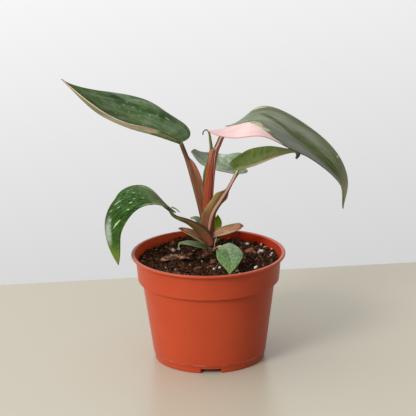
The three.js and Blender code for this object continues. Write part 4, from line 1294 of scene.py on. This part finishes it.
# ------------------------------------------------------------------ the plant
UNDER_GREEN = ((80, 98, 44), (96, 114, 58), (120, 136, 82))
LEAF_PAINTS = {
    "upper_right": (paint_upper_right_top, paint_underside(
        UNDER_GREEN, (150, 150, 96), (120, 80, 60)), "leaf_pink_half", 0.3, 0.36),
    "upper_left": (paint_upper_left_top, paint_upper_left_under, "leaf_pink_edge", 0.25, 0.34),
    "lower_left": (paint_flecked, paint_underside(
        UNDER_GREEN, (140, 140, 96), (150, 156, 110)), "leaf_flecked", 0.03, 0.6),
    "middle_right": (paint_green_top, paint_keeled, "leaf_green", 0.25, 0.4),
    "back": (paint_grey_green, paint_underside(
        UNDER_GREEN, (140, 140, 96), (150, 156, 110)), "leaf_grey_green", 0.25, 0.45),
    "front_small": (paint_front_small, paint_underside(
        UNDER_GREEN, (150, 160, 110), (150, 170, 90)), "leaf_green", 0.3, 0.4),
}
BLADE_DETAIL = {
    "front_small": dict(rows=70, columns=16, veins=7, quilt=0.03, pucker=0.22),
    "middle_right": dict(quilt=0.02),
    "back": dict(quilt=0.03),
}
for key, (top, under, slot_name, gloss, rough) in LEAF_PAINTS.items():
    upper = leaf_look(key + "_top", top, rough, gloss)
    lower = leaf_look(key + "_under", under, 0.55, 0.15)
    blade_piece(key + "_leaf_blade", LEAVES[key], [upper, lower, upper], slot_name,
                **BLADE_DETAIL.get(key, {}))

SMALL_PAINTS = {
    "scale_leaf_left": (paint_scale, paint_scale_back, "scale_leaf"),
    "scale_leaf_right": (paint_scale, paint_scale_back, "scale_leaf"),
    "soil_leaf_left": (paint_soil_leaf, paint_soil_leaf, "leaf_green"),
    "small_leaf_back_right": (paint_young, paint_young, "leaf_young"),
    "small_leaf_back_left": (paint_grey_small, paint_grey_small, "leaf_grey_green"),
}
for key, (top, under, slot_name) in SMALL_PAINTS.items():
    upper = leaf_look(key + "_top", top, 0.45, 0.2)
    lower = leaf_look(key + "_under", under, 0.5, 0.2)
    blade_piece(key, SMALL_LEAVES[key], [upper, lower, upper], slot_name, rows=48, columns=10,
                veins=6, quilt=0.05, rib=0.5, groove=0.15)

STALK_PAINTS = {
    "upper_left": (paint_brown_stalk, "stalk_brown"),
    "upper_right": (paint_red_stalk, "stalk_red"),
    "middle_right": (paint_tan_stalk, "stalk_tan"),
    "lower_left": (paint_olive_stalk, "stalk_olive"),
    "back": (paint_olive_stalk, "stalk_olive"),
    "front_small": (paint_thin_stalk, "stalk_tan"),
}
for key, (paint, slot_name) in STALK_PAINTS.items():
    stalk_piece(key + "_leaf_stalk", STALKS[key], stalk_look(key + "_stalk", paint))
stalk_piece("new_leaf_spike", SPIKE, stalk_look("spike", paint_spike))
stem_piece(plain_look("stem_skin", (96, 54, 38), (140, 86, 62), 0.5, 400))

# --------------------------------------------------------------- pot and soil
pot_piece(pot_look(), inner_wall_look())
soil_piece(soil_look())
bark_piece(bark_look())

PERLITE_SPOTS = [  # x, y, size, lift
    (-24.6, 15.4, 3.4, 0.6), (-20.9, 22, 2.4), (-10.3, 20, 2.2), (-7.4, -28, 2.2),
    (3.8, -21, 2.4), (7.9, -21, 2.6), (28, 28, 2.8), (38.6, 30.7, 2.4), (40.7, 22.4, 3),
    (37.9, 15.4, 4.2), (36, 13.4, 3.4), (46, 21, 3), (45.2, 14, 2.2), (32.9, -22.4, 3.2),
    (19.8, -28, 3), (36.6, -8.3, 2), (44, 1.5, 1.8), (-4.5, 5.4, 1.6),
]
BARK_SPOTS = [
    (-29.6, 28, 3.6, 0.4), (-33.3, 22.4, 3.2), (-11.9, -6.8, 4), (-7.4, 5.6, 2.6),
    (-24.2, -22.4, 3), (29.6, 16.8, 7, 0.4), (36.6, 5.6, 4.2), (33, 12, 4.6), (0, 13, 6, 1.5),
]
HEAP_COUNT, HEAP_PLACE, HEAP_SIZE = 60, (0.4, 14.6), (4.4, 1.8)


def heap_spots():
    """Places of the bits heaped round the crown: larger and higher towards the middle."""
    draw = random.Random(4)
    spots = []
    for _ in range(HEAP_COUNT):
        away, angle = math.sqrt(draw.random()), 2 * math.pi * draw.random()
        x = HEAP_PLACE[0] + HEAP_SIZE[0] * away * math.cos(angle)
        y = HEAP_PLACE[1] + HEAP_SIZE[1] * away * math.sin(angle)
        spots.append((x, y, 2.6 - away, 1.5 + 4.5 * (1 - away) * draw.random()))
    return spots


crumb = crumb_look("peat_crumbs", [(0, (15, 8, 4)), (0.45, (48, 29, 18)), (0.75, (110, 74, 50)),
                                   (1, (206, 146, 108))])
scatter("soil_crumbs", 3000, 1, crumb, 11, (0.4, 1.9),
        ((0.6, 1.5), (0.4, 1.1), (0.3, 0.9)), sink=0.5, jitter=0.5)
scatter("soil_clods", 150, 2, crumb, 31, (2.4, 5),
        ((0.6, 1.3), (0.5, 1.1), (0.3, 0.6)), sink=0.8, jitter=0.32)
scatter("soil_fibres", 700, 1, crumb, 23, (1.6, 5.5),
        ((0.9, 1.2), (0.1, 0.2), (0.1, 0.18)))
grain_look = crumb_look("perlite", [(0, (160, 148, 132)), (0.5, (214, 206, 194)),
                                    (1, (245, 240, 232))], 0.25, shaded=False)
scatter("perlite_grains", 75, 2, grain_look, 5, (0.6, 1.8),
        ((0.8, 1.1), (0.7, 1), (0.6, 0.9)), spots=PERLITE_SPOTS, sink=0.2, jitter=0.3)
chip_look = crumb_look("bark_bits", [(0, (84, 48, 32)), (0.5, (140, 90, 64)),
                                     (1, (190, 138, 104))], grain=700)
scatter("bark_bits", 110, 2, chip_look, 8, (1.2, 3.4),
        ((0.9, 1.3), (0.45, 0.8), (0.25, 0.5)), spots=BARK_SPOTS, sink=0.2, jitter=0.26)

root_look = plain_look("young_root", (150, 104, 84), (196, 150, 126), 0.5, 500)
tip_look = plain_look("sheath_tip_skin", (120, 124, 84), (178, 182, 148), 0.5, 600)
bead_look = plain_look("teal_bead", (10, 66, 68), (22, 92, 92), 0.35, 500)
twig_look = plain_look("twig", (54, 34, 24), (110, 78, 56), 0.8, 700)
thread_piece("crown_root", [(6.1, 14, 82.5), (5.2, 13, 80.2), (4.5, 12.5, 77.4), (4.5, 12, 75.7),
                            (3.2, 11, 74.2), (2.4, 10.5, 71)], 0.5, root_look)
thread_piece("crown_bud", [(5.2, 16.2, 78.4), (6.2, 16, 79.4), (7.2, 15.9, 80.2), (8, 15.8, 80.8)],
             1.5, plain_look("bud_skin", (84, 98, 62), (122, 134, 98), 0.5, 700),
             16, 12)
thread_piece("sheath_tip", [(-25.6, 4.6, 108.3), (-23.5, 4.8, 107.6), (-21.4, 4.9, 106.2),
                            (-19.6, 5, 104.2)], 0.6, tip_look, 24, 8)
scatter("crown_heap", HEAP_COUNT, 2, chip_look, 9, (2, 3),
        ((0.9, 1.3), (0.5, 0.8), (0.4, 0.7)), spots=heap_spots(), jitter=0.36)
# The green leaf's hooked tip, dark with painted shade where it curls down under the leaf above.
shaded_tip_look = plain_look("shade_painted_tip", (22, 30, 10), (56, 68, 30), 0.6, 500)
thread_piece("green_leaf_tip", [(64, 7.2, 146.2), (63.8, 7, 144.4), (63, 6.9, 142.8),
                                (61.8, 6.9, 141.6)], 1.5, shaded_tip_look, 24, 10)
scatter("crown_bead", 1, 3, bead_look, 2, (1.8, 1.9), ((1, 1), (1, 1), (1, 1)),
        spots=[(1.7, 11.2, 1.9, 6.4)], jitter=0)
thread_piece("back_twig", [(20.5, 44.5, 70), (20.9, 45.2, 72.6), (20.2, 45.6, 74.6),
                           (19.2, 45.8, 76.2)], 0.45, twig_look, 24, 8)
thread_piece("back_twig_fork", [(20.9, 45.1, 72), (21.6, 45.4, 73.8), (22.6, 45.6, 75.4),
                                (22.9, 45.8, 76.6)], 0.35, twig_look, 16, 8)
thread_piece("wall_twig", [(-46.4, -9, 69.6), (-47.6, -9.1, 72.2), (-48.6, -9.1, 74.2),
                           (-49.1, -9, 75.8)], 0.4, twig_look, 16, 8)

# -------------------------------------------------- floor, backdrop and light
CAMERA_PLACE = Vector((0, -1.4961, 0.5671))
CAMERA_PITCH, CAMERA_TURN, CAMERA_ROLL = 17.036, 0.01, -0.85
CAMERA_LENS, SENSOR = 193.97, 36.0
FLOOR_HALF, FLOOR_BACK, FLOOR_TURN = 1.6, 0.1768, 7.19
SIDE_LIGHT = 0.4


def camera():
    data = bpy.data.cameras.new("camera")
    data.lens, data.sensor_width, data.sensor_fit = CAMERA_LENS, SENSOR, "HORIZONTAL"
    data.clip_start, data.clip_end = 0.05, 30
    piece = linked("camera", data)
    pitch, turn, roll = (math.radians(a) for a in (CAMERA_PITCH, CAMERA_TURN, CAMERA_ROLL))
    ahead = Vector((math.sin(turn) * math.cos(pitch), math.cos(turn) * math.cos(pitch),
                    -math.sin(pitch)))
    right = ahead.cross(Vector((0, 0, 1))).normalized()
    up = right.cross(ahead)
    side = right * math.cos(roll) + up * math.sin(roll)
    top = up * math.cos(roll) - right * math.sin(roll)
    piece.matrix_world = Matrix((
        (side.x, top.x, -ahead.x, CAMERA_PLACE.x), (side.y, top.y, -ahead.y, CAMERA_PLACE.y),
        (side.z, top.z, -ahead.z, CAMERA_PLACE.z), (0, 0, 0, 1)))
    bpy.context.scene.camera = piece


def area_light(name, place, aim, size, power):
    data = bpy.data.lights.new(name, "AREA")
    data.shape, data.size, data.energy = "DISK", size, power
    piece = linked(name, data)
    piece.location = place
    piece.rotation_euler = (Vector(aim) - Vector(place)).to_track_quat("-Z", "Y").to_euler()


def floor_piece():
    """A plain board that ends behind the pot."""
    mesh = bmesh.new()
    bmesh.ops.create_grid(mesh, x_segments=2, y_segments=2, size=FLOOR_HALF)
    turn = Matrix.Rotation(math.radians(FLOOR_TURN), 4, "Z")
    shift = Matrix.Translation((0, FLOOR_BACK - FLOOR_HALF, 0))
    bmesh.ops.transform(mesh, matrix=turn @ shift, verts=mesh.verts)
    data = to_data("floor", mesh)
    m = Finish("floor_paint", Roughness=0.3)
    m.feed("Base Color", m.mix(m.mottle(3), (203, 195, 175), (207, 199, 179)))
    data.materials.append(m.material)
    linked("floor", data)


def world_light():
    """A pale room: lighter above and to the left, with a wall that darkens downwards."""
    world = bpy.data.worlds.new("studio")
    world.use_nodes = True
    room = Nodes(world.node_tree)
    x, y, z = room.axes(room.node("ShaderNodeTexCoord"))
    wall = 0.65 + 0.25 * z.ramp(-0.33, -0.2)
    wall = wall * (1 - x * (SIDE_LIGHT + 0.3 * x.abs())) * (1 - 0.4 * (x - y).ramp(0.2, 1.2))
    room.links.new(wall.socket, room.nodes["Background"].inputs["Color"])
    bpy.context.scene.world = world


camera()
floor_piece()
world_light()
area_light("key", (-1.15, -1.35, 1.15), (0, 0, 0.08), 0.75, 29)
bpy.context.scene.view_settings.view_transform = "Standard"
